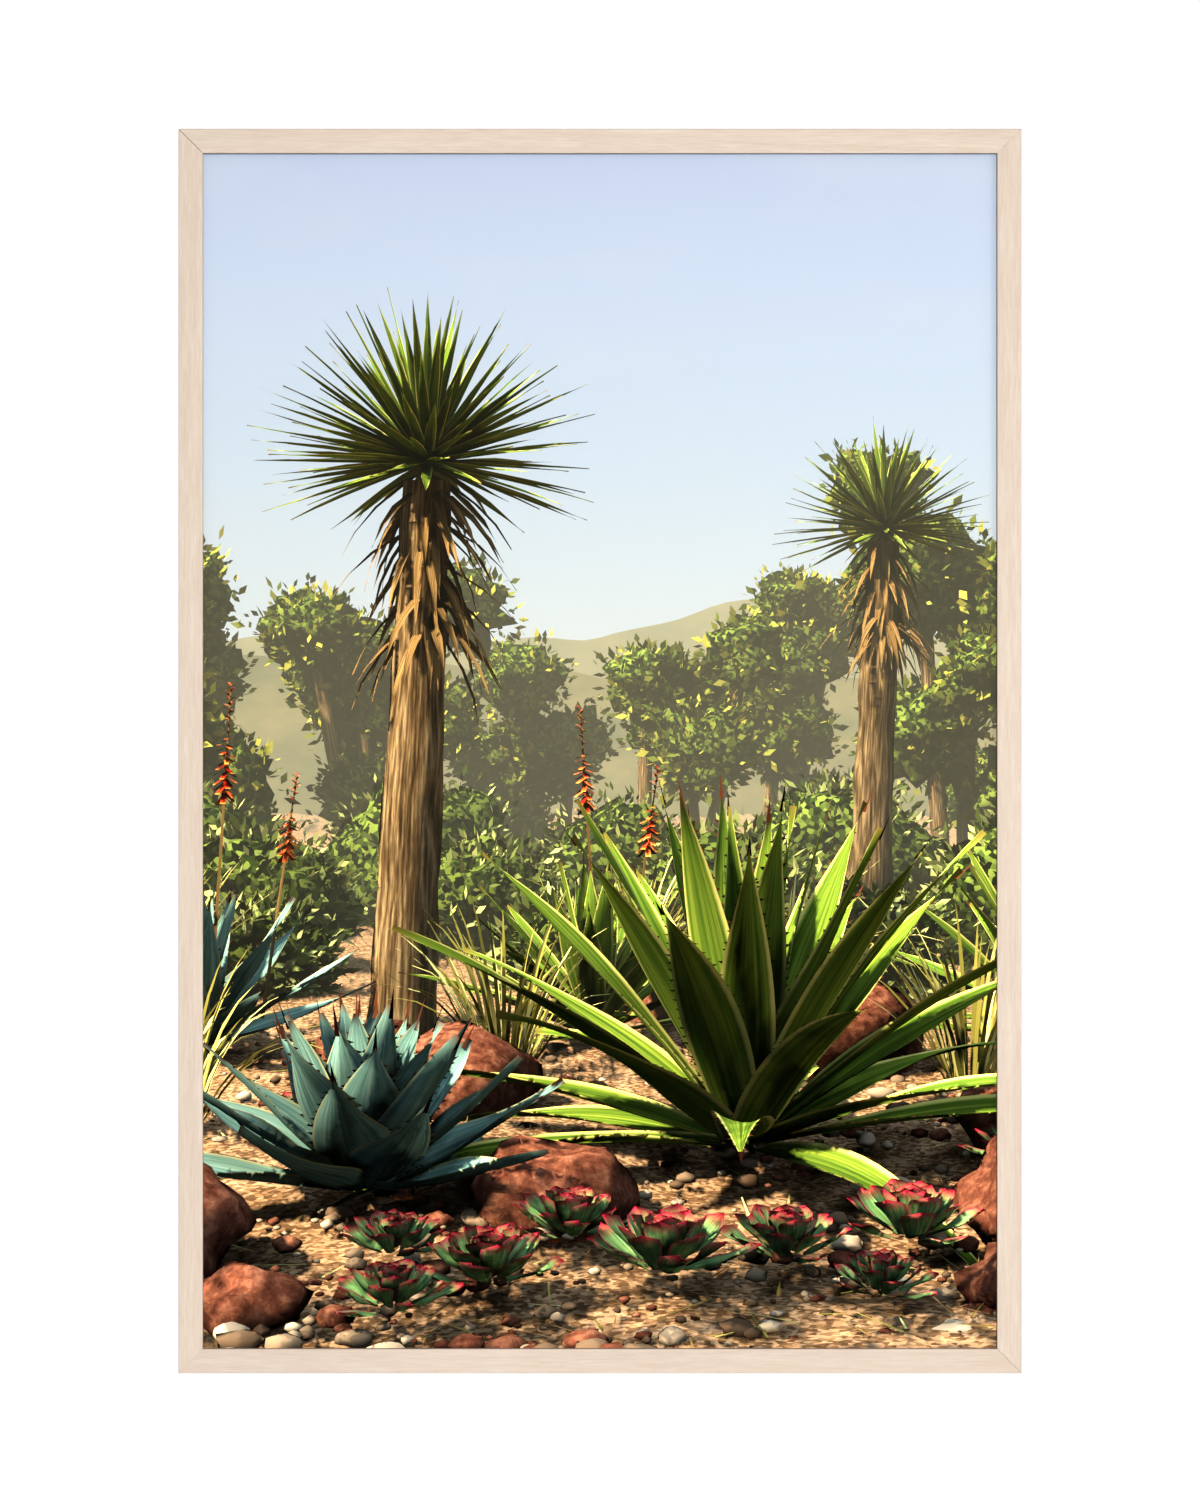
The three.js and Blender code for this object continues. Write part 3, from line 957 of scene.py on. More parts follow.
def foliage(middle, radii, leaves, ink, lumps=0.45, solid=True):
    """A lumpy round body in small leaves, with the body itself as the dark inside."""
    middle = Vector(middle)
    if solid:
        unit, faces = BALLS[3]
        reach = [swelling(way, middle, lumps) * CORE_SHARE for way in unit]
        core = [middle + scaled(way, radii) * out for way, out in zip(unit, reach)]
        plant(core, [(0, 0)] * len(core), faces, "shade")
        bodies.append((middle, radii, ink, lumps))
    leaf_cover(middle, radii, leaves, ink, lumps, solid)


# %% [markdown]
# ### Planting plan
# A big pale-edged clump takes the middle, a blue rosette the left, small pink-tipped ones the
# front, and two tree yuccas stand behind, before trees, bushes and two ridges of hills. Plants
# scattered at random would fill the ground, but not make a picture, so the large ones are placed
# one by one. Each row of a table is one plant or stone, and chance deals out the leaves, the
# pebbles and the straw.

# %% Hills
def ground_height(x, y):
    """Gentle swells of the sandy ground."""
    swell = noise.noise(Vector((x * 0.7, y * 0.55, 4.0)))
    return 0.10 * swell + 0.012 * noise.noise(Vector((x * 5, y * 5, 9.0)))


def ridge(distance, low, high, waves, seed, count=90):
    """A line of hills across the view, in count steps."""
    points, marks, faces = [], [], []
    width = distance * 0.6
    for i in range(count + 1):
        x = width * (2 * i / count - 1) / 1.5
        swell = noise.noise(Vector((x / distance * waves, seed, 0)))
        swell += 0.35 * noise.noise(Vector((x / distance * waves * 4, seed, 5)))
        points.append(Vector((x, distance, -1.0)))
        points.append(Vector((x, distance, low + (high - low) * (0.5 + 0.6 * swell))))
        marks.extend([(i / 8, 0), (i / 8, 1)])
    for i in range(count):
        faces.append((2 * i, 2 * i + 2, 2 * i + 3, 2 * i + 1))
    plant(points, marks, faces, "hill")


ridge(70, 4.0, 8.5, 5, 1.0)
ridge(38, 1.6, 4.2, 7, 6.0)
print("hills:", len(garden_faces), "triangles so far")

# %% Trees and bushes
# (x, y, height, spread)
TREES = (
    (-3.0, 12.5, 2.6, 1.2),
    (-1.75, 13.5, 2.5, 1.1),
    (-0.5, 14.5, 2.2, 1.0),
    (0.55, 13.5, 2.0, 1.0),
    (1.5, 14.5, 2.6, 1.1),
    (2.4, 11.5, 3.1, 1.2),
    (3.4, 13.5, 2.7, 1.2),
    (-2.5, 10.5, 1.5, 0.9),
)
# (x, y, radius)
BUSHES = (
    (-1.45, 7.6, 0.5), (-0.55, 8.3, 0.45), (0.55, 7.8, 0.5), (1.75, 7.2, 0.55),
    (-2.2, 8.8, 0.7), (0.1, 9.4, 0.6), (1.3, 9.6, 0.7), (-1.0, 10.0, 0.7),
    (2.4, 9.0, 0.7), (0.95, 6.4, 0.34), (-0.12, 6.6, 0.3), (-1.2, 6.3, 0.3),
)
CLUSTERS_PER_TREE = 9
for x, y, height, spread_out in TREES:
    for _ in range(CLUSTERS_PER_TREE):
        turn = dice.uniform(*ANY_TURN)
        off = dice.uniform(0, spread_out * 0.75)
        up = height * dice.uniform(0.15, 0.88)
        middle = (x + off * math.cos(turn), y + off * 0.6 * math.sin(turn), up)
        size = spread_out * dice.uniform(0.3, 0.46)
        foliage(middle, (size, size, size * 0.85), TREE_LEAVES, "tree")
for x, y, size in BUSHES:
    radii = (size, size * 0.8, size * 0.8)
    foliage((x, y, size * 0.5), radii, BUSH_LEAVES, "mound", lumps=0.25)
print("trees and bushes:", len(garden_faces), "triangles so far")


# %% Tree yuccas
DEAD_LEAVES = 90
SKIRT = 0.5
DEAD_LEAF = {"width": 0.03, "ink": "dry", "profile": blade, "rows": 4, "lanes": 2}
GREEN_LEAF = {
    "width": 0.034, "ink": "sword", "profile": blade, "rows": 5, "lanes": 2, "channel": 0.5,
}


def tree_yucca(x, y, height, leaves, length):
    """A stem with a round head of stiff leaves and a skirt of dead ones."""
    lean = 0.08
    trunk(x, y, height, 0.085, lean=lean)
    head = (x + lean, y, height + 0.06)
    for _ in range(DEAD_LEAVES):
        heading = dice.uniform(*ANY_TURN)
        below = (head[0], head[1], head[2] - dice.uniform(0.0, SKIRT))
        tilt = dice.uniform(-60, -25)
        reach = length * dice.uniform(0.55, 0.8)
        leaf(below, heading, tilt, -40, reach, **DEAD_LEAF)
    # The head is a ball of leaves without its underside.
    for i in range(leaves):
        tilt = math.degrees(math.asin(-0.35 + 1.34 * (i + 0.5) / leaves))
        bend = dice.uniform(-6, 3)
        reach = length * dice.uniform(0.88, 1.08)
        leaf(head, i * GOLDEN_ANGLE, tilt, bend, reach, **GREEN_LEAF)


tree_yucca(-0.62, 5.6, 1.72, 150, 0.52)
tree_yucca(1.25, 8.4, 1.9, 110, 0.5)
print("tree yuccas:", len(garden_faces), "triangles so far")

# %% Large rosettes
CLUMP = {"low": 2, "high": 84, "bend": (-30, 4), "rows": 16, "lanes": 6, "teeth": 20}
BLUE = {"low": 8, "high": 82, "bend": (18, 2), "rows": 12, "lanes": 6, "channel": 0.38, "teeth": 12}
FAR_BLUE = {"low": 8, "high": 82, "bend": (10, 2), "rows": 8, "channel": 0.35, "teeth": 6}
FAR_CLUMP = {"low": 6, "high": 84, "rows": 8, "teeth": 8}
rosette((0.3, 3.75), 40, 0.92, 0.135, "sword", turn=math.radians(156), **CLUMP)
rosette((-0.44, 3.35), 32, 0.40, 0.155, "blue", turn=1.0, **BLUE)
rosette((-1.15, 5.1), 26, 0.55, 0.12, "blue", turn=2.0, **FAR_BLUE)
rosette((1.35, 5.3), 30, 0.7, 0.10, "sword", turn=3.0, bend=(-20, 2), **FAR_CLUMP)
rosette((-0.02, 5.35), 30, 0.62, 0.10, "sword", turn=4.0, bend=(-16, 2), **FAR_CLUMP)
print("large rosettes:", len(garden_faces), "triangles so far")

# %% Small rosettes and grass
SMALL = {
    "low": 8, "high": 86, "bend": (30, 8), "core": 0.03, "inner": 0.45,
    "profile": spoon, "rows": 7,
}
GRASS_BLADE = {
    "width": 0.011, "ink": "grass", "profile": blade, "rows": 7, "lanes": 1, "channel": 0,
}
# (x, y, length of the leaves)
ROSETTES = (
    (0.10, 2.80, 0.125), (-0.17, 2.74, 0.105), (0.30, 2.88, 0.10), (-0.05, 3.02, 0.10),
    (0.52, 3.0, 0.12), (-0.33, 2.90, 0.08), (-0.62, 4.0, 0.12), (0.85, 3.6, 0.11),
    (-0.30, 2.60, 0.08), (0.42, 2.68, 0.07),
)
# (x, y, blades, length of the blades)
TUFTS = (
    (0.95, 4.6, 70, 0.5), (-0.25, 4.7, 70, 0.5), (-0.95, 4.0, 60, 0.42),
    (0.62, 6.0, 70, 0.6), (-1.5, 6.1, 70, 0.6), (0.15, 6.9, 60, 0.6),
)
for number, (x, y, size) in enumerate(ROSETTES):
    rosette((x, y), 30, size, size * 0.52, "rosette", turn=number * 1.3, **SMALL)
for x, y, count, size in TUFTS:
    for _ in range(count):
        turn = dice.uniform(*ANY_TURN)
        foot = (x + 0.05 * math.cos(turn), y + 0.05 * math.sin(turn), 0)
        tilt = dice.uniform(55, 88)
        bend = dice.uniform(-95, -25)
        long = size * dice.uniform(0.7, 1.15)
        leaf(foot, turn, tilt, bend, long, **GRASS_BLADE)
print("small rosettes and grass:", len(garden_faces), "triangles so far")

# %% Flower spikes
# Flowers clothe the top third of a stalk, shorter and more upright towards its tip.
FLOWERS_PER_SPIKE = 70
# (x, y, height, lean)
SPIKES = (
    (-1.10, 5.05, 1.05, 0.06),
    (-1.22, 5.15, 0.88, -0.07),
    (-0.98, 5.2, 0.80, 0.10),
    (0.0, 5.4, 1.0, -0.06),
    (0.07, 5.3, 0.82, 0.10),
)
for x, y, height, lean in SPIKES:
    top = Vector((x + lean, y, height))
    foot = Vector((x, y, 0.1))
    side = Vector((0.006, 0, 0))
    strip(foot, side, top, side * 0.4, "dry")
    for k in range(FLOWERS_PER_SPIKE):
        t = k / (FLOWERS_PER_SPIKE - 1)
        turn = k * GOLDEN_ANGLE
        start = foot.lerp(top, 0.68 + 0.33 * t)
        out = Vector((math.cos(turn), math.sin(turn), 0))
        long = 0.040 * (1.15 - 0.75 * t)
        grow = (out + Vector((0, 0, -0.9 + 1.5 * t))).normalized() * long
        wide = out.cross(Vector((0, 0, 1))) * long * 0.18
        strip(start, wide, start + grow, wide, "flower")
print("flower spikes:", len(SPIKES))

# %% Shade from a branch outside the picture
# (x, y, z, radius)
OVERHEAD = (
    (-2.2, 1.35, 2.6, 0.33),
    (-3.0, 0.9, 2.9, 0.36),
    (-1.75, 1.1, 2.5, 0.25),
    (-1.2, 0.9, 2.3, 0.22),
)
for x, y, z, size in OVERHEAD:
    radii = (size, size, size * 0.5)
    foliage((x, y, z), radii, OVERHEAD_LEAVES, "tree", lumps=0.5, solid=False)

# %% Stones and pebbles
# (x, y, radius, detail)
STONES = (
    (-0.80, 2.95, 0.17, 3), (0.82, 3.15, 0.19, 4), (0.64, 2.70, 0.09, 3), (-0.52, 2.66, 0.07, 3),
    (-0.08, 3.28, 0.13, 3), (-1.05, 3.6, 0.2, 3), (1.05, 3.9, 0.22, 3), (-0.35, 4.3, 0.2, 3),
    (0.6, 4.95, 0.25, 3), (-0.6, 4.7, 0.16, 3), (1.5, 4.4, 0.25, 3), (-1.6, 5.4, 0.3, 3),
    (0.3, 5.9, 0.22, 3),
)
PEBBLES = 760
# Most pebbles are small ones, in radii of 6 to 30 mm.
PEBBLE_RADIUS = 6 * MM
PEBBLE_RANGE = 5
for x, y, size, detail in STONES:
    stone(x, y, size, detail=detail)
for _ in range(PEBBLES):
    y = 2.45 + 3.2 * dice.random() ** 1.6
    x = dice.uniform(-0.24, 0.24) * y
    size = PEBBLE_RADIUS * PEBBLE_RANGE ** (dice.random() ** 1.7)
    ink = "stone" if dice.random() < 0.3 else "pebble"
    stone(x, y, size, detail=1 if size < 0.02 else 2, flat=0.6, ink=ink)
print("stones and pebbles:", len(garden_faces), "triangles so far")

# %% Stems of the trees
# Each stem leads from the ground into one of its tree's highest bodies of leaves.
STEMS_PER_TREE = 3
for number, (x, y, height, spread_out) in enumerate(TREES):
    first = number * CLUSTERS_PER_TREE
    crowns = [body[0] for body in bodies[first:first + CLUSTERS_PER_TREE]]
    crowns.sort(key=lambda top: -top.z)
    for top in crowns[:STEMS_PER_TREE]:
        foot = x + dice.uniform(-0.25, 0.25)
        trunk(foot, top.y, top.z, 0.05, lean=top.x - foot)
print("stems:", STEMS_PER_TREE * len(TREES))

# %% Straw
STRAWS = 240
for _ in range(STRAWS):
    y = 2.5 + 2.2 * dice.random() ** 1.4
    x = dice.uniform(-0.24, 0.24) * y
    turn = dice.uniform(0, math.pi)
    long = dice.uniform(0.03, 0.11)
    along = Vector((math.cos(turn), math.sin(turn), dice.uniform(-0.05, 0.15))) * long
    across = Vector((-math.sin(turn), math.cos(turn), 0)) * dice.uniform(0.0012, 0.003)
    foot = Vector((x, y, ground_height(x, y) + 0.004))
    strip(foot, across, foot + along, across * 0.4, "grass" if dice.random() < 0.5 else "dry")
print("straws:", STRAWS)

# %% The ground
NEAREST, FURTHEST = 2.2, 40
rows, columns = 70, 50
sand_points, sand_marks, sand_faces = [], [], []
for i in range(rows + 1):
    y = NEAREST * (FURTHEST / NEAREST) ** (i / rows)
    for j in range(columns + 1):
        x = y * 0.34 * (2 * j / columns - 1)
        sand_points.append(Vector((x, y, ground_height(x, y))))
        sand_marks.append((x, y))
for i in range(rows):
    for j in range(columns):
        a = i * (columns + 1) + j
        sand_faces.append((a, a + 1, a + columns + 2, a + columns + 1))
plant(sand_points, sand_marks, sand_faces, "sand")
print("ground:", len(sand_faces), "quads")

# %% A second, finer layer of leaves
FINE_LEAVES = {"tree": (190, 0.062, 0.28), "mound": (520, 0.052, 0.22)}
for middle, radii, ink, lumps in bodies:
    leaf_cover(middle, radii, FINE_LEAVES[ink], ink, lumps, True)
print("the garden has", len(garden_faces), "triangles in", len(piece_starts), "pieces")

# %% [markdown]
# ### Flattening
# The garden could be rendered to an image and the image put on the sheet, but meshes and shaders
# are all that this model holds. So every triangle edge that the eye can see is drawn on the sheet,
# together with loose points that keep the mesh even. A constrained triangulation of these lines
# cuts the sheet into facets, hardly any of which straddle an outline. A ray from the eye through
# each facet then tells what is seen there.

# %% Eye rays
points3 = np.array([tuple(point) for point in garden_points])
marks3 = np.array(garden_marks)
faces3 = np.array(garden_faces)
ink_of = np.array(face_ink)
piece_of = np.array(face_piece)
garden_tree = BVHTree.FromPolygons(garden_points, garden_faces, all_triangles=True)
eye = np.array(EYE)
half_width = (sheet_high.x - sheet_low.x) / 2
half_height = (sheet_high.z - sheet_low.z) / 2
print("sheet, mm:", round(2 * half_width / MM, 1), "by", round(2 * half_height / MM, 1))


def on_sheet(points):
    """Where points of the garden fall on the sheet, from its middle, in metres."""
    across = FOCAL * points[:, 0] / points[:, 1]
    up = HORIZON + FOCAL * (points[:, 2] - eye[2]) / points[:, 1]
    return np.stack([across, up], axis=1)


# A ray stops this share of the way to a point, so that it doesn't hit the point's own face.
SHORT_OF_IT = 0.996


def is_seen(target):
    """Whether nothing stands between the eye and a point, given from the eye."""
    return garden_tree.ray_cast(EYE, target, target.length * SHORT_OF_IT)[0] is None


# %% Edges that may fall on the sheet
drawn = faces3[(ink_of != INKS.index("sand"))]
edges = np.sort(np.concatenate([drawn[:, [0, 1]], drawn[:, [1, 2]], drawn[:, [2, 0]]]), axis=1)
edges = np.unique(edges, axis=0)
ends = on_sheet(points3)[edges]
inside = np.ones(len(edges), dtype=bool)
for axis, half in ((0, half_width), (1, half_height)):
    inside &= ends[:, :, axis].max(1) > -half
    inside &= ends[:, :, axis].min(1) < half
drawn_too = np.array([tuple(edge) not in diagonals for edge in edges.tolist()])
edges = edges[inside & drawn_too]
print("edges that may fall on the sheet:", len(edges))

# %% The visible part of each edge
SAMPLES = (0.1, 0.3, 0.5, 0.7, 0.9)
SAMPLE_STEP = 0.2
HALVINGS = 4


def seen_until(start, end, seen_share, step):
    """The share of a line, beyond a share that is seen, where it passes out of sight."""
    hidden_share = seen_share + step
    if not 0 < hidden_share < 1:
        return min(1, max(0, hidden_share))
    for _ in range(HALVINGS):
        middle = (seen_share + hidden_share) / 2
        if is_seen(start.lerp(end, middle)):
            seen_share = middle
        else:
            hidden_share = middle
    return hidden_share


segments = []
for start, end in points3[edges].tolist():
    start, end = Vector(start) - EYE, Vector(end) - EYE
    shown = [share for share in SAMPLES if is_seen(start.lerp(end, share))]
    if shown:
        low = seen_until(start, end, shown[0], -SAMPLE_STEP)
        high = seen_until(start, end, shown[-1], SAMPLE_STEP)
        segments.append((start.lerp(end, low), start.lerp(end, high)))
print("edges with a visible part:", len(segments))

# %% Lines and loose points on the sheet
FREE_STEP = 5 * MM
columns = round(2 * half_width / FREE_STEP)
rows = round(2 * half_height / FREE_STEP)
loose = []
for i in range(1, rows):
    for j in range(1, columns):
        u = half_width * (2 * (j + dice.uniform(-0.3, 0.3)) / columns - 1)
        v = half_height * (2 * (i + dice.uniform(-0.3, 0.3)) / rows - 1)
        if garden_tree.ray_cast(EYE, (u, FOCAL, v - HORIZON))[0] is not None:
            loose.append((u, v))
line_ends = np.array([tuple(end + EYE) for segment in segments for end in segment])
line_points, line_index = np.unique(on_sheet(line_ends).round(6), axis=0, return_inverse=True)
rim_points = [
    (-half_width, -half_height),
    (half_width, -half_height),
    (half_width, half_height),
    (-half_width, half_height),
]
rim = [(0, 1), (1, 2), (2, 3), (3, 0)]
line_index = line_index.reshape(-1, 2) + len(rim_points)
lines = rim + [(int(a), int(b)) for a, b in line_index if a != b]
print("on the sheet:", len(lines), "lines and", len(loose), "loose points")

# %% Facets of the sheet
# Points nearer than this become one.
MERGE = 0.25 * MM


def cut_sheet(extra):
    """Corners and triangles of the sheet, cut along the visible edges."""
    points = rim_points + line_points.tolist() + loose + extra
    made = delaunay_2d_cdt([Vector(point) for point in points], lines, [], 0, MERGE, False)
    corners = np.array([tuple(corner) for corner in made[0]])
    triangles = np.array(made[2])
    middles = corners[triangles].mean(axis=1)
    kept = (np.abs(middles[:, 0]) < half_width) & (np.abs(middles[:, 1]) < half_height)
    return corners, triangles[kept]


def face_behind(corners, triangles):
    """The garden face seen through the middle of each triangle, or -1 for the sky."""
    seen = []
    for u, v in corners[triangles].mean(axis=1).tolist():
        hit = garden_tree.ray_cast(EYE, (u, FOCAL, v - HORIZON))
        seen.append(-1 if hit[0] is None else hit[2])
    return np.array(seen)


# %% [markdown]
# ### Daylight
# The renderer could light the garden, but only if it were an object in the scene. So rays are cast
# here. The open sky is tested with a fan of rays at each point of the garden that is seen. The sun
# is tested at each corner of the sheet's facets. Where the sun's share changes from one corner to
# the next, the sheet is cut again, so that shadows get edges as crisp as a photograph's.

# %% Sun and sky
SUN = Vector((-0.62, -0.42, 0.72)).normalized()
SUN_COLOUR = np.array([1.0, 0.93, 0.80])
SUN_STRENGTH = 3.0
SUN_SPREAD = 0.010
SUN_RAYS = 3
SUN_REACH = 12.0
SKY_COLOUR = np.array([0.62, 0.75, 0.92])
GROUND_COLOUR = np.array([0.34, 0.26, 0.17])
SKY_STRENGTH = 1.1
SKY_REACH = 1.1
SKY_RAYS = 20
# Light that always gets through, and the share of the sun that shines through thin leaves
LEAK = np.array([0.008, 0.010, 0.005])
THROUGH = {"tree": 0.35, "mound": 0.3, "grass": 0.45, "rosette": 0.18, "sword": 0.07, "blue": 0.05}

# A few rays to the sun's disc give the shadows soft edges, and the sky is brightest overhead.
sun_rays = []
for k in range(SUN_RAYS):
    turn = k * math.tau / SUN_RAYS
    aside = Vector((math.cos(turn), math.sin(turn) * 0.6, math.sin(turn)))
    sun_rays.append((SUN + aside * SUN_SPREAD).normalized())
sky_rays = []
for k in range(SKY_RAYS):
    z = 1 - (2 * k + 1) / SKY_RAYS
    level = math.sqrt(1 - z * z)
    turn = k * GOLDEN_ANGLE
    way = Vector((level * math.cos(turn), level * math.sin(turn), z))
    glow = SKY_COLOUR * (0.7 + 0.5 * way.z) if way.z > 0 else GROUND_COLOUR
    sky_rays.append((way, glow * SKY_STRENGTH))
print("rays:", len(sun_rays), "to the sun and", len(sky_rays), "to the sky")

# %% Normals of the garden, turned towards the eye
corner3 = points3[faces3]
face_normal = np.cross(corner3[:, 1] - corner3[:, 0], corner3[:, 2] - corner3[:, 0])
face_normal /= np.maximum(np.linalg.norm(face_normal, axis=1, keepdims=True), 1e-12)
point_normal = np.zeros_like(points3)
for k in range(3):
    np.add.at(point_normal, faces3[:, k], face_normal)
point_normal /= np.maximum(np.linalg.norm(point_normal, axis=1, keepdims=True), 1e-12)
away = np.sum(point_normal * (points3 - eye), axis=1) > 0
point_normal[away] *= -1
print("normals turned round:", int(away.sum()), "of", len(away))


# %% Light of the sky
SKIN = 0.004
FLATTEST = 0.05


def sky_light(chosen):
    """Light from the sky and the ground at the chosen points, on the side that faces the eye."""
    light = np.zeros((len(points3), 3))
    for index in chosen.tolist():
        normal = Vector(point_normal[index])
        start = Vector(points3[index]) + normal * SKIN
        total = 0.0
        for way, glow in sky_rays:
            weight = normal.dot(way)
            if weight > FLATTEST:
                total += weight
                if garden_tree.ray_cast(start, way, SKY_REACH)[0] is None:
                    light[index] += glow * weight
        light[index] /= max(total, FLATTEST)
    return light


# %% Where a facet's corners lie on the garden
FURTHEST_SHARE = 1.1


def dot(first, second):
    """Dot products along the last axis."""
    return np.sum(first * second, axis=2)


def corner_shares(corners, triangles, seen):
    """Shares of the garden face behind each triangle at its corners, which may lie outside it."""
    across, up = corners[triangles][:, :, 0], corners[triangles][:, :, 1] - HORIZON
    ways = np.stack([across, np.full(triangles.shape, FOCAL), up], axis=2)
    a, b, c = (corner3[seen][:, None, k] for k in range(3))
    normal = face_normal[seen][:, None]
    slope = dot(ways, normal)
    slope[np.abs(slope) < 1e-9] = 1e-9
    spots = eye + ways * (dot(a - eye, normal) / slope)[:, :, None]
    ab, ac, gone = b - a, c - a, spots - a
    area = np.maximum(dot(ab, ab) * dot(ac, ac) - dot(ab, ac) * dot(ab, ac), 1e-18)
    second = (dot(ac, ac) * dot(gone, ab) - dot(ab, ac) * dot(gone, ac)) / area
    third = (dot(ab, ab) * dot(gone, ac) - dot(ab, ac) * dot(gone, ab)) / area
    from_middle = np.stack([1 - second - third, second, third], axis=2) - 1 / 3
    furthest = np.abs(from_middle).max(axis=2, keepdims=True)
    return 1 / 3 + from_middle * np.minimum(1, FURTHEST_SHARE / np.maximum(furthest, 1e-9))


def spread(shares, seen, values):
    """Values of the garden's points at each triangle's corners."""
    return np.einsum("tck,tkd->tcd", shares, values[faces3[seen]])


# %% Light of the sun
SUN_SKIN = 0.003
FAINTEST = 0.01


def sun_share(keys, spots, normals, inks):
    """Share of the sun that reaches each corner, worked out once for each piece and corner."""
    first, back = np.unique(keys, return_index=True, return_inverse=True)[1:]
    facing = normals[first] @ np.array(SUN)
    starts = spots[first] + normals[first] * np.where(facing > 0, SUN_SKIN, -SUN_SKIN)[:, None]
    through = np.array([THROUGH.get(ink, 0.0) for ink in INKS])[inks[first]]
    strength = np.where(facing > 0, facing, -facing * through)
    shares = []
    for start, strong in zip(starts.tolist(), (strength > FAINTEST).tolist()):
        clear = 0
        if strong:
            for way in sun_rays:
                clear += garden_tree.ray_cast(start, way, SUN_REACH)[0] is None
        shares.append(clear / SUN_RAYS)
    return (strength * np.array(shares))[back.ravel()]


# %% Cut, light and cut again along shadow edges
PASSES = 2
SHORTEST_CUT = 1.5 * MM
SHADOW_STEP = 0.25


def shadow_cuts(corners, triangles, sun):
    """Middles of the facet sides along which the sun's share changes much."""
    halves = set()
    for k in range(3):
        after = (k + 1) % 3
        ends = corners[triangles][:, (k, after)]
        long = np.linalg.norm(ends[:, 0] - ends[:, 1], axis=1) > SHORTEST_CUT
        change = np.abs(sun[:, k] - sun[:, after]) > SHADOW_STEP
        halves.update(map(tuple, ends[long & change].mean(axis=1).round(6).tolist()))
    return list(halves)


extra = []
for number in range(PASSES):
    corners, triangles = cut_sheet(extra)
    seen = face_behind(corners, triangles)
    ground = seen >= 0
    shares = corner_shares(corners, triangles[ground], seen[ground])
    spots = spread(shares, seen[ground], points3)
    normals = spread(shares, seen[ground], point_normal)
    normals /= np.maximum(np.linalg.norm(normals, axis=2, keepdims=True), 1e-9)
    keys = piece_of[seen[ground]][:, None] * len(corners) + triangles[ground]
    inks = np.repeat(ink_of[seen[ground]], 3)
    sun = sun_share(keys.ravel(), spots.reshape(-1, 3), normals.reshape(-1, 3), inks).reshape(-1, 3)
    print("pass", number + 1, ":", len(triangles), "facets")
    if number < PASSES - 1:
        extra += shadow_cuts(corners, triangles[ground], sun)
ambient = sky_light(np.unique(faces3[seen[ground]]))

# %% [markdown]
# ### Inks
# Each kind of thing has its own ink: a run of colours picked by one of the patterns, with its own
# margin and tip where leaves have them. One noise for everything would be less work, but leaves
# would then look like stone. Leaf patterns run along the leaf, and sand and stone patterns are
# fixed in the garden's metres, so they shrink with distance as they should.

# %% Ink colours
INK_RUNS = {
    "hill": ("patches", ["#6E6E4C", "#88825E", "#A1946C"]),
    "tree": ("tint", ["#525C2A", "#7A803E", "#AEA758"]),
    "mound": ("tint", ["#5B6438", "#838854", "#AFAE78"]),
    "sword": ("streaks", ["#587030", "#7A8C3C", "#9CA64C"]),
    "blue": ("streaks", ["#6C877E", "#86A194", "#A5BBAB"]),
    "rosette": ("streaks", ["#66875A", "#8AA770", "#A6BF8B"]),
    "grass": ("tint", ["#8F8548", "#B3A663", "#CFC58A"]),
    "flower": ("tint", ["#B23E2A", "#CF5C38", "#E2864C"]),
    "dry": ("streaks", ["#6B5338", "#94784F", "#B99C70"]),
    "bark": ("streaks", ["#4A3A2A", "#7D674A", "#B39A76"]),
    "stone": ("mottle", ["#5C3A2D", "#825643", "#A97B62"]),
    "pebble": ("tint", ["#7C6652", "#9C866F", "#BFAB93"]),
    "sand": ("gravel", ["#6E5640", "#937659", "#B8997A"]),
    "spine": ("tint", ["#3B2018", "#5A3324", "#6E4630"]),
    "shade": ("leafage", ["#1A220D", "#425027", "#848E4A"]),
    "bare": ("mottle", ["#F1EFE9", "#F3F1EC", "#F5F3EE"]),
}
# name: (colour, where it starts, where it is full), across or along the leaf
MARGINS = {
    "sword": ("#D9CF83", 0.80, 0.90),
    "blue": ("#B9B48F", 0.90, 0.97),
    "rosette": ("#C4586A", 0.80, 1.0),
}
TIPS = {
    "sword": ("#8A7A44", 0.93, 1.0),
    "blue": ("#7E6B5A", 0.93, 1.0),
    "rosette": ("#B8324C", 0.72, 0.98),
    "flower": ("#E3B05A", 0.80, 1.0),
}
WIDE_RUN = (0.15, 0.5, 0.85)
NARROW_RUN = (0.33, 0.5, 0.67)

# %% Colours of the sky
HAZE_COLOUR = "#D9CEA9"
CLOUD = "#DADBD9"
SKY_RUN = [
    (0.0, "#ECE4D6"),
    (0.2, "#E1E2DC"),
    (0.5, "#D0D9E1"),
    (0.8, "#C8D1E2"),
    (1.0, "#C0C8DD"),
]

# %% Patterns of the inks
# name: (coordinates, stretch, size, detail, roughness). Sizes in the garden are real ones, and
# those of streaks and cloud are shares of half a leaf's width and of half the sky's height.
NOISES = {
    "streaks": ("marks", (4.5, 0.7, 60), 0.625, 3.0, 0.6),
    "mottle": ("garden", (1, 1, 1), 29 * MM, 6.0, 0.68),
    "patches": ("garden", (1, 0.3, 2), 1700 * MM, 4.0, 0.6),
    "grit": ("garden", (1, 1, 1), 110 * MM, 5.0, 0.65),
    "cloud": ("marks", (1.0, 3.4, 1.0), 0.59, 6.0, 0.55),
}
# name: size of one cell
CELLS = {"pebbles": 11 * MM, "leafage": 29 * MM}
GRIT_SHARE = 0.55


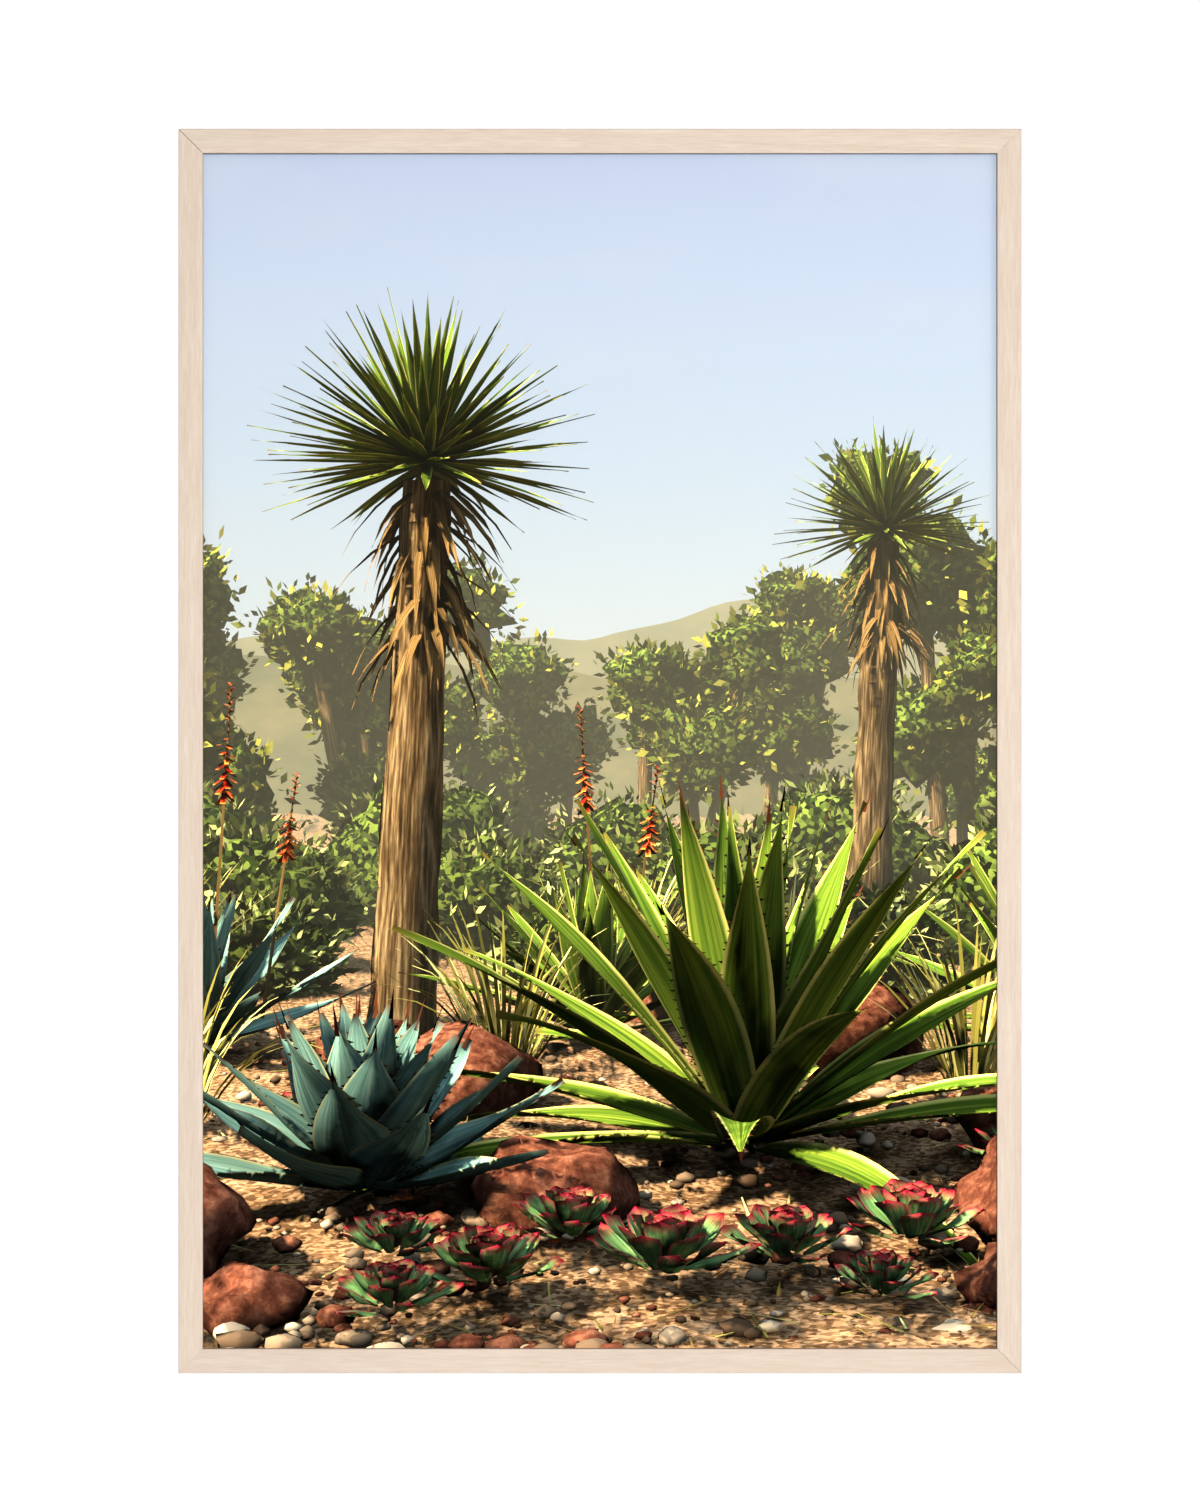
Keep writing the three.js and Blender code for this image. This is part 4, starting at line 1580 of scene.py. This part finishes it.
def ink_patterns(tree, vectors, seed):
    """The patterns that pick each ink's colour, by name."""
    patterns = {"tint": seed}
    for name, (vector, stretch, size, detail, roughness) in NOISES.items():
        place = add_node(tree, "ShaderNodeMapping", {"Vector": vectors[vector], "Scale": stretch})
        made = add_node(tree, "ShaderNodeTexNoise", {
            "Vector": place.outputs[0],
            "Scale": 1 / size,
            "Detail": detail,
            "Roughness": roughness,
        })
        patterns[name] = made.outputs["Fac"]
    for name, size in CELLS.items():
        cells = add_node(tree, "ShaderNodeTexVoronoi", {
            "Vector": vectors["garden"],
            "Scale": 1 / size,
        })
        shades = add_node(tree, "ShaderNodeSeparateXYZ", {"Vector": cells.outputs["Color"]})
        patterns[name] = shades.outputs["Y"]
    gravel = add_node(tree, "ShaderNodeMix", {
        0: 1 - GRIT_SHARE,
        6: patterns["grit"],
        7: patterns["pebbles"],
    }, **BLEND)
    patterns["gravel"] = gravel.outputs[2]
    return patterns


# %% The sky's colour
def sky_colour(tree, height, cloud):
    """Pale blue that turns to cream at the horizon, with thin cloud."""
    clear_sky = add_node(tree, "ShaderNodeValToRGB", {"Fac": height}, stops=SKY_RUN)
    veil = add_node(tree, "ShaderNodeMapRange", {
        "Value": cloud,
        "From Min": 0.5,
        "From Max": 0.8,
        "To Max": 0.35,
    })
    clouded = add_node(tree, "ShaderNodeMix", {
        0: veil.outputs[0],
        6: clear_sky.outputs[0],
        7: linear(CLOUD),
    }, **BLEND)
    return clouded.outputs[2]


# %% An ink's colour
def ink_colour(tree, name, patterns, margin, along):
    """One ink's colour, with its margins and tips."""
    pattern, run = INK_RUNS[name]
    places = WIDE_RUN if pattern in ("tint", "leafage") else NARROW_RUN
    stops = list(zip(places, run))
    colour = add_node(tree, "ShaderNodeValToRGB", {"Fac": patterns[pattern]}, stops=stops)
    out = colour.outputs[0]
    for table, value in ((MARGINS, margin), (TIPS, along)):
        if name in table:
            edge, start, full = table[name]
            share = add_node(tree, "ShaderNodeMapRange", {
                "Value": value,
                "From Min": start,
                "From Max": full,
            })
            edged = add_node(tree, "ShaderNodeMix", {
                0: share.outputs[0],
                6: out,
                7: linear(edge),
            }, **BLEND)
            out = edged.outputs[2]
    return out


# %% The printed paper
PRINT_CONTRAST = 1.42
# Each piece is made darker or paler by its seed, up to these.
DARKEST, PALEST = 0.82, 1.18


def printed_paper():
    """Coated matt photo paper with the garden in ink: full colours and no highlight."""
    material, tree, shader = new_material("matt_photo_paper")
    stored = {}
    for name in ("marks", "garden", "ink", "daylight"):
        stored[name] = add_node(tree, "ShaderNodeAttribute", attribute_name=name).outputs
    ink = stored["ink"]["Fac"]
    vectors = {name: stored[name]["Vector"] for name in ("marks", "garden")}
    parts = add_node(tree, "ShaderNodeSeparateXYZ", {"Vector": vectors["marks"]})
    across, along, seed = parts.outputs
    margin = add_node(tree, "ShaderNodeMath", {0: across}, operation="ABSOLUTE")
    patterns = ink_patterns(tree, vectors, seed)
    colour = sky_colour(tree, along, patterns["cloud"])
    for name in INK_RUNS:
        own = ink_colour(tree, name, patterns, margin.outputs[0], along)
        number = float(INKS.index(name))
        chosen = add_node(tree, "ShaderNodeMath", {0: ink, 1: number, 2: 0.1}, operation="COMPARE")
        inked = add_node(tree, "ShaderNodeMix", {0: chosen.outputs[0], 6: colour, 7: own}, **BLEND)
        colour = inked.outputs[2]
    age = add_node(tree, "ShaderNodeMapRange", {
        "Value": seed,
        "To Min": DARKEST,
        "To Max": PALEST,
    })
    aged = add_node(tree, "ShaderNodeMix", {0: 1.0, 6: colour, 7: age.outputs[0]}, **MULTIPLY)
    lit = add_node(tree, "ShaderNodeMix", {
        0: 1.0,
        6: aged.outputs[2],
        7: stored["daylight"]["Color"],
    }, **MULTIPLY)
    curve = add_node(tree, "ShaderNodeGamma", {
        "Color": lit.outputs[2],
        "Gamma": PRINT_CONTRAST,
    })
    hazy = add_node(tree, "ShaderNodeMix", {
        0: stored["daylight"]["Alpha"],
        6: curve.outputs[0],
        7: linear(HAZE_COLOUR),
    }, **BLEND)
    unlit = add_node(tree, "ShaderNodeMath", {0: ink, 1: 0.5}, operation="LESS_THAN")
    printed = add_node(tree, "ShaderNodeMix", {
        0: unlit.outputs[0],
        6: hazy.outputs[2],
        7: colour,
    }, **BLEND)
    tree.links.new(printed.outputs[2], shader.inputs["Base Color"])
    shader.inputs["Roughness"].default_value = 0.55
    shader.inputs["Specular IOR Level"].default_value = 0.02
    return material


# %% [markdown]
# ### The sheet
# The print is a stiff sheet of matt photo paper, held flat between the acrylic and the back. One
# box with an image on it would be the usual way, but there is no image here. So the front is the
# cut facets themselves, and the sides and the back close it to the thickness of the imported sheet.
# Colours, marks and places in the garden are stored at each facet's corners, where the paper's
# shader finds them.

# %% The rim of the sheet
def rim_loop(triangles):
    """The corners round the rim, in order."""
    pairs = np.concatenate([triangles[:, [0, 1]], triangles[:, [1, 2]], triangles[:, [2, 0]]])
    known = set(map(tuple, pairs.tolist()))
    after = {a: b for a, b in known if (b, a) not in known}
    start = next(iter(after))
    loop = [start]
    while after[loop[-1]] != start:
        loop.append(after[loop[-1]])
    return loop


# %% The sheet's mesh
used, compact = np.unique(triangles, return_inverse=True)
fronts = compact.reshape(-1, 3)
front_points = []
for u, v in corners[used].tolist():
    front_points.append((centre.x + u, sheet_low.y, centre.z + v))
loop = rim_loop(fronts)
back_points = [(front_points[i][0], sheet_high.y, front_points[i][2]) for i in loop]
count = len(front_points)
sides = []
for k, here in enumerate(loop):
    following = (k + 1) % len(loop)
    sides.append((loop[following], here, count + k, count + following))
back = [tuple(range(count, count + len(loop)))[::-1]]
picture = mesh_object("photo_print", front_points + back_points, fronts.tolist() + sides + back)
mesh = picture.data
print("the print has", len(mesh.polygons), "facets")


# %% Values on the corners of the facets
other_corners = 4 * len(sides) + len(loop)


def write_corners(name, kind, key, values, fill):
    """Stores a value for each corner of the front facets, and a plain one elsewhere."""
    rest = np.tile(np.array(fill, dtype=float), (other_corners, 1))
    layer = mesh.attributes.new(name, kind, "CORNER")
    both = np.concatenate([values.reshape(-1, values.shape[-1]), rest])
    layer.data.foreach_set(key, both.ravel().astype(np.float32))


# %% Daylight and haze
# Haze begins this far from the eye, in metres, and thickens over this length.
HAZE_START = 5.0
HAZE_LENGTH = 48.0
light = np.ones((len(triangles), 3, 4))
light[:, :, 3] = 0
skylight = np.maximum(spread(shares, seen[ground], ambient), 0)
light[ground, :, :3] = LEAK + skylight + sun[:, :, None] * SUN_COLOUR * SUN_STRENGTH
depth = np.linalg.norm(spots - eye, axis=2)
light[ground, :, 3] = 1 - np.exp(-np.maximum(depth - HAZE_START, 0) / HAZE_LENGTH)
write_corners("daylight", "FLOAT_COLOR", "color", light, (1, 1, 1, 0))
print("mean daylight:", light[ground, :, :3].mean(axis=(0, 1)).round(2))

# %% Marks, places and inks
# The sky has marks of its own, and needs no places.
flat_corners = corners[triangles]
marks_out = np.zeros((len(triangles), 3, 3))
marks_out[:, :, 0] = flat_corners[:, :, 0] / half_height
marks_out[:, :, 1] = (flat_corners[:, :, 1] - HORIZON) / (half_height - HORIZON)
marks_out[ground] = spread(shares, seen[ground], marks3)
places_out = np.zeros((len(triangles), 3, 3))
places_out[ground] = spots
write_corners("marks", "FLOAT_VECTOR", "vector", marks_out, (0, 0, 0))
write_corners("garden", "FLOAT_VECTOR", "vector", places_out, (0, 0, 0))
ink_layer = mesh.attributes.new("ink", "INT", "FACE")
ink_values = np.where(seen >= 0, ink_of[seen], INKS.index("sky")).tolist()
ink_layer.data.foreach_set("value", ink_values + [INKS.index("bare")] * (len(sides) + 1))
print("facets of open sky:", int(np.count_nonzero(~ground)))

# %% A flat map for texture baking
# The front takes the left of the map, and the back and the sides share a strip at its right.
FRONT_SHARE = 0.97
STRIP_START, STRIP_WIDTH = 0.2, 0.6
corner_vertex = np.empty(len(mesh.loops), dtype=np.int32)
mesh.loops.foreach_get("vertex_index", corner_vertex)
on_paper = np.array(front_points + back_points)[:, [0, 2]] - (centre.x, centre.z)
chart = on_paper[corner_vertex] / (2 * half_width, 2 * half_height) + 0.5
is_front = np.arange(len(chart)) < 3 * len(fronts)
in_strip = 1 - (1 - FRONT_SHARE) * (STRIP_START + STRIP_WIDTH * chart[:, 0])
chart[:, 0] = np.where(is_front, chart[:, 0] * FRONT_SHARE, in_strip)
mesh.uv_layers.new(name="OFBake").data.foreach_set("uv", chart.ravel().astype(np.float32))
finish_piece(picture, printed_paper(), "paper", "print")
print("the map has", len(chart), "corners")

# %% [markdown]
# ## The glazing
# A sheet of clear acrylic with an anti-reflective coating covers the print. Bare acrylic sends
# back about four percent of the light at each face, which would lay a grey veil over the blacks.
# The coating leaves about a quarter of a percent, as if the index were close to that of air, and
# more at a slant. A glass shader would need refraction to let the lamps through, so a clear
# shader is mixed with a mirror one by the Fresnel rule.

# %% Clear acrylic
COATED_IOR = 1.1
# Extruded sheet has faint waves about this long.
WAVE = 170 * MM


def coated_acrylic():
    """Extruded acrylic with an anti-reflective coating: unseen, but for a trace of the room."""
    material, tree, shader = new_material("coated_clear_acrylic")
    tree.nodes.remove(shader)
    clear = add_node(tree, "ShaderNodeBsdfTransparent", {"Color": linear("#FDFEFE")})
    waves = add_node(tree, "ShaderNodeTexNoise", {"Scale": 1 / WAVE, "Detail": 1.0})
    flatness = add_node(tree, "ShaderNodeBump", {
        "Height": waves.outputs["Fac"],
        "Strength": 0.02,
        "Distance": 0.2 * MM,
    })
    gloss = add_node(tree, "ShaderNodeBsdfGlossy", {
        "Roughness": 0.03,
        "Normal": flatness.outputs[0],
    })
    rule = add_node(tree, "ShaderNodeFresnel", {"IOR": COATED_IOR})
    both = add_node(tree, "ShaderNodeMixShader", {"Fac": rule.outputs[0]})
    tree.links.new(clear.outputs[0], both.inputs[1])
    tree.links.new(gloss.outputs[0], both.inputs[2])
    tree.links.new(both.outputs[0], tree.nodes["Material Output"].inputs["Surface"])
    return material


def finish_node(name, material, edge_width=None):
    """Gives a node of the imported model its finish, and breaks its edges where a width is given."""
    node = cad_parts[name]
    if not node.material_slots:
        node.data.materials.append(material)
    for slot in node.material_slots:
        slot.material = material
    if edge_width:
        ease_edges(node, edge_width)


finish_node("glazing", coated_acrylic(), 0.2 * MM)
print("glazing: coated acrylic")

# %% [markdown]
# ## The back board
# The print is held flat by 3 mm fibreboard, pressed wood fibre the colour of milk coffee. Seen from
# behind it has a fine felt of fibres with darker and lighter flecks and no direction. The fibres
# could be modelled, but they are finer than a pixel, so noise of the right size stands for them.

# %% Fibreboard
FIBRE = 1.1 * MM
CLOUDING = 60 * MM


def fibreboard():
    """Pressed wood fibre with a smooth face: a dull, flecked brown."""
    material, tree, shader = new_material("pressed_fibreboard")
    place = add_node(tree, "ShaderNodeTexCoord").outputs["Object"]
    felt = add_node(tree, "ShaderNodeTexNoise", {
        "Vector": place,
        "Scale": 1 / FIBRE,
        "Detail": 5.0,
        "Roughness": 0.75,
        "Distortion": 0.6,
    })
    flecks = add_node(tree, "ShaderNodeValToRGB", {"Fac": felt.outputs["Fac"]}, stops=[
        (0.28, "#86694D"),
        (0.44, "#A68A6A"),
        (0.60, "#B39877"),
        (0.78, "#C9B295"),
    ])
    clouding = add_node(tree, "ShaderNodeTexNoise", {
        "Vector": place,
        "Scale": 1 / CLOUDING,
        "Detail": 3.0,
    })
    tone = add_node(tree, "ShaderNodeValToRGB", {"Fac": clouding.outputs["Fac"]}, stops=[
        (0.35, "#F3EFEB"),
        (0.65, "#FFFFFF"),
    ])
    colour = add_node(tree, "ShaderNodeMix", {
        0: 1.0,
        6: flecks.outputs[0],
        7: tone.outputs[0],
    }, **MULTIPLY)
    tree.links.new(colour.outputs[2], shader.inputs["Base Color"])
    relief = add_node(tree, "ShaderNodeBump", {
        "Height": felt.outputs["Fac"],
        "Strength": 0.2,
        "Distance": 0.08 * MM,
    })
    tree.links.new(relief.outputs[0], shader.inputs["Normal"])
    shader.inputs["Roughness"].default_value = 0.72
    shader.inputs["Specular IOR Level"].default_value = 0.25
    return material


finish_node("backing", fibreboard(), 0.25 * MM)
print("backing: fibreboard")

# %% [markdown]
# ## Steel and rubber
# The framer's points, the V nails in the mitres, the toothed hanger and its two screws are thin
# zinc-plated steel. Zinc is a bluish light grey, brushed along the strip it was rolled in, with
# soft reflections. The two bumpers at the foot are grey rubber and keep the frame off the wall.
# New meshes could replace them all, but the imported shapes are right. They only need their finish,
# and edges broken by a tenth of a millimetre, as tumbled and moulded parts have.

# %% Zinc-plated steel
ROLLED_LENGTH = 25 * MM
ROLLED_WIDTH = 1.1 * MM
SPANGLE = 2.9 * MM


def zinc_plate():
    """Rolled strip steel with a bright zinc plating: soft streaked reflections."""
    material, tree, shader = new_material("zinc_plated_steel")
    place = add_node(tree, "ShaderNodeTexCoord").outputs["Object"]
    rolled = add_node(tree, "ShaderNodeMapping", {
        "Vector": place,
        "Scale": (1 / ROLLED_LENGTH, 1 / ROLLED_WIDTH, 1 / ROLLED_WIDTH),
    })
    brush = add_node(tree, "ShaderNodeTexNoise", {
        "Vector": rolled.outputs[0],
        "Scale": 1.0,
        "Detail": 3.0,
    })
    spangle = add_node(tree, "ShaderNodeTexVoronoi", {"Vector": place, "Scale": 1 / SPANGLE})
    grey = add_node(tree, "ShaderNodeValToRGB", {"Fac": brush.outputs["Fac"]}, stops=[
        (0.35, "#B4B8BB"),
        (0.65, "#CFD2D4"),
    ])
    flake = add_node(tree, "ShaderNodeValToRGB", {"Fac": spangle.outputs["Distance"]}, stops=[
        (0.0, "#F2F4F6"),
        (1.0, "#FFFFFF"),
    ])
    colour = add_node(tree, "ShaderNodeMix", {
        0: 1.0,
        6: grey.outputs[0],
        7: flake.outputs[0],
    }, **MULTIPLY)
    tree.links.new(colour.outputs[2], shader.inputs["Base Color"])
    polish = add_node(tree, "ShaderNodeMapRange", {
        "Value": brush.outputs["Fac"],
        "To Min": 0.28,
        "To Max": 0.42,
    })
    tree.links.new(polish.outputs[0], shader.inputs["Roughness"])
    shader.inputs["Metallic"].default_value = 1.0
    return material


# %% Rubber
DUST_GRAIN = 0.7 * MM


def bumper_rubber():
    """Moulded soft rubber with a little dust: a dull dark grey with no clear highlight."""
    material, tree, shader = new_material("soft_grey_rubber")
    place = add_node(tree, "ShaderNodeTexCoord").outputs["Object"]
    dust = add_node(tree, "ShaderNodeTexNoise", {
        "Vector": place,
        "Scale": 1 / DUST_GRAIN,
        "Detail": 4.0,
    })
    colour = add_node(tree, "ShaderNodeValToRGB", {"Fac": dust.outputs["Fac"]}, stops=[
        (0.38, "#4C4A47"),
        (0.70, "#62605C"),
    ])
    tree.links.new(colour.outputs[0], shader.inputs["Base Color"])
    shader.inputs["Roughness"].default_value = 0.68
    shader.inputs["IOR"].default_value = 1.52
    return material


# %% Finish of the fittings
steel = zinc_plate()
rubber = bumper_rubber()
# (how the nodes' names start, material, width of the eased edges)
FITTINGS = (
    (("point_", "v_nail_"), steel, 0.08 * MM),
    (("hanger", "screw_"), steel, 0.12 * MM),
    (("bumper_",), rubber, 0.1 * MM),
)
for starts, material, edge_width in FITTINGS:
    chosen = [name for name in node_names if name.startswith(starts)]
    for name in chosen:
        finish_node(name, material, edge_width)
    print(material.name, "on", len(chosen), "nodes")
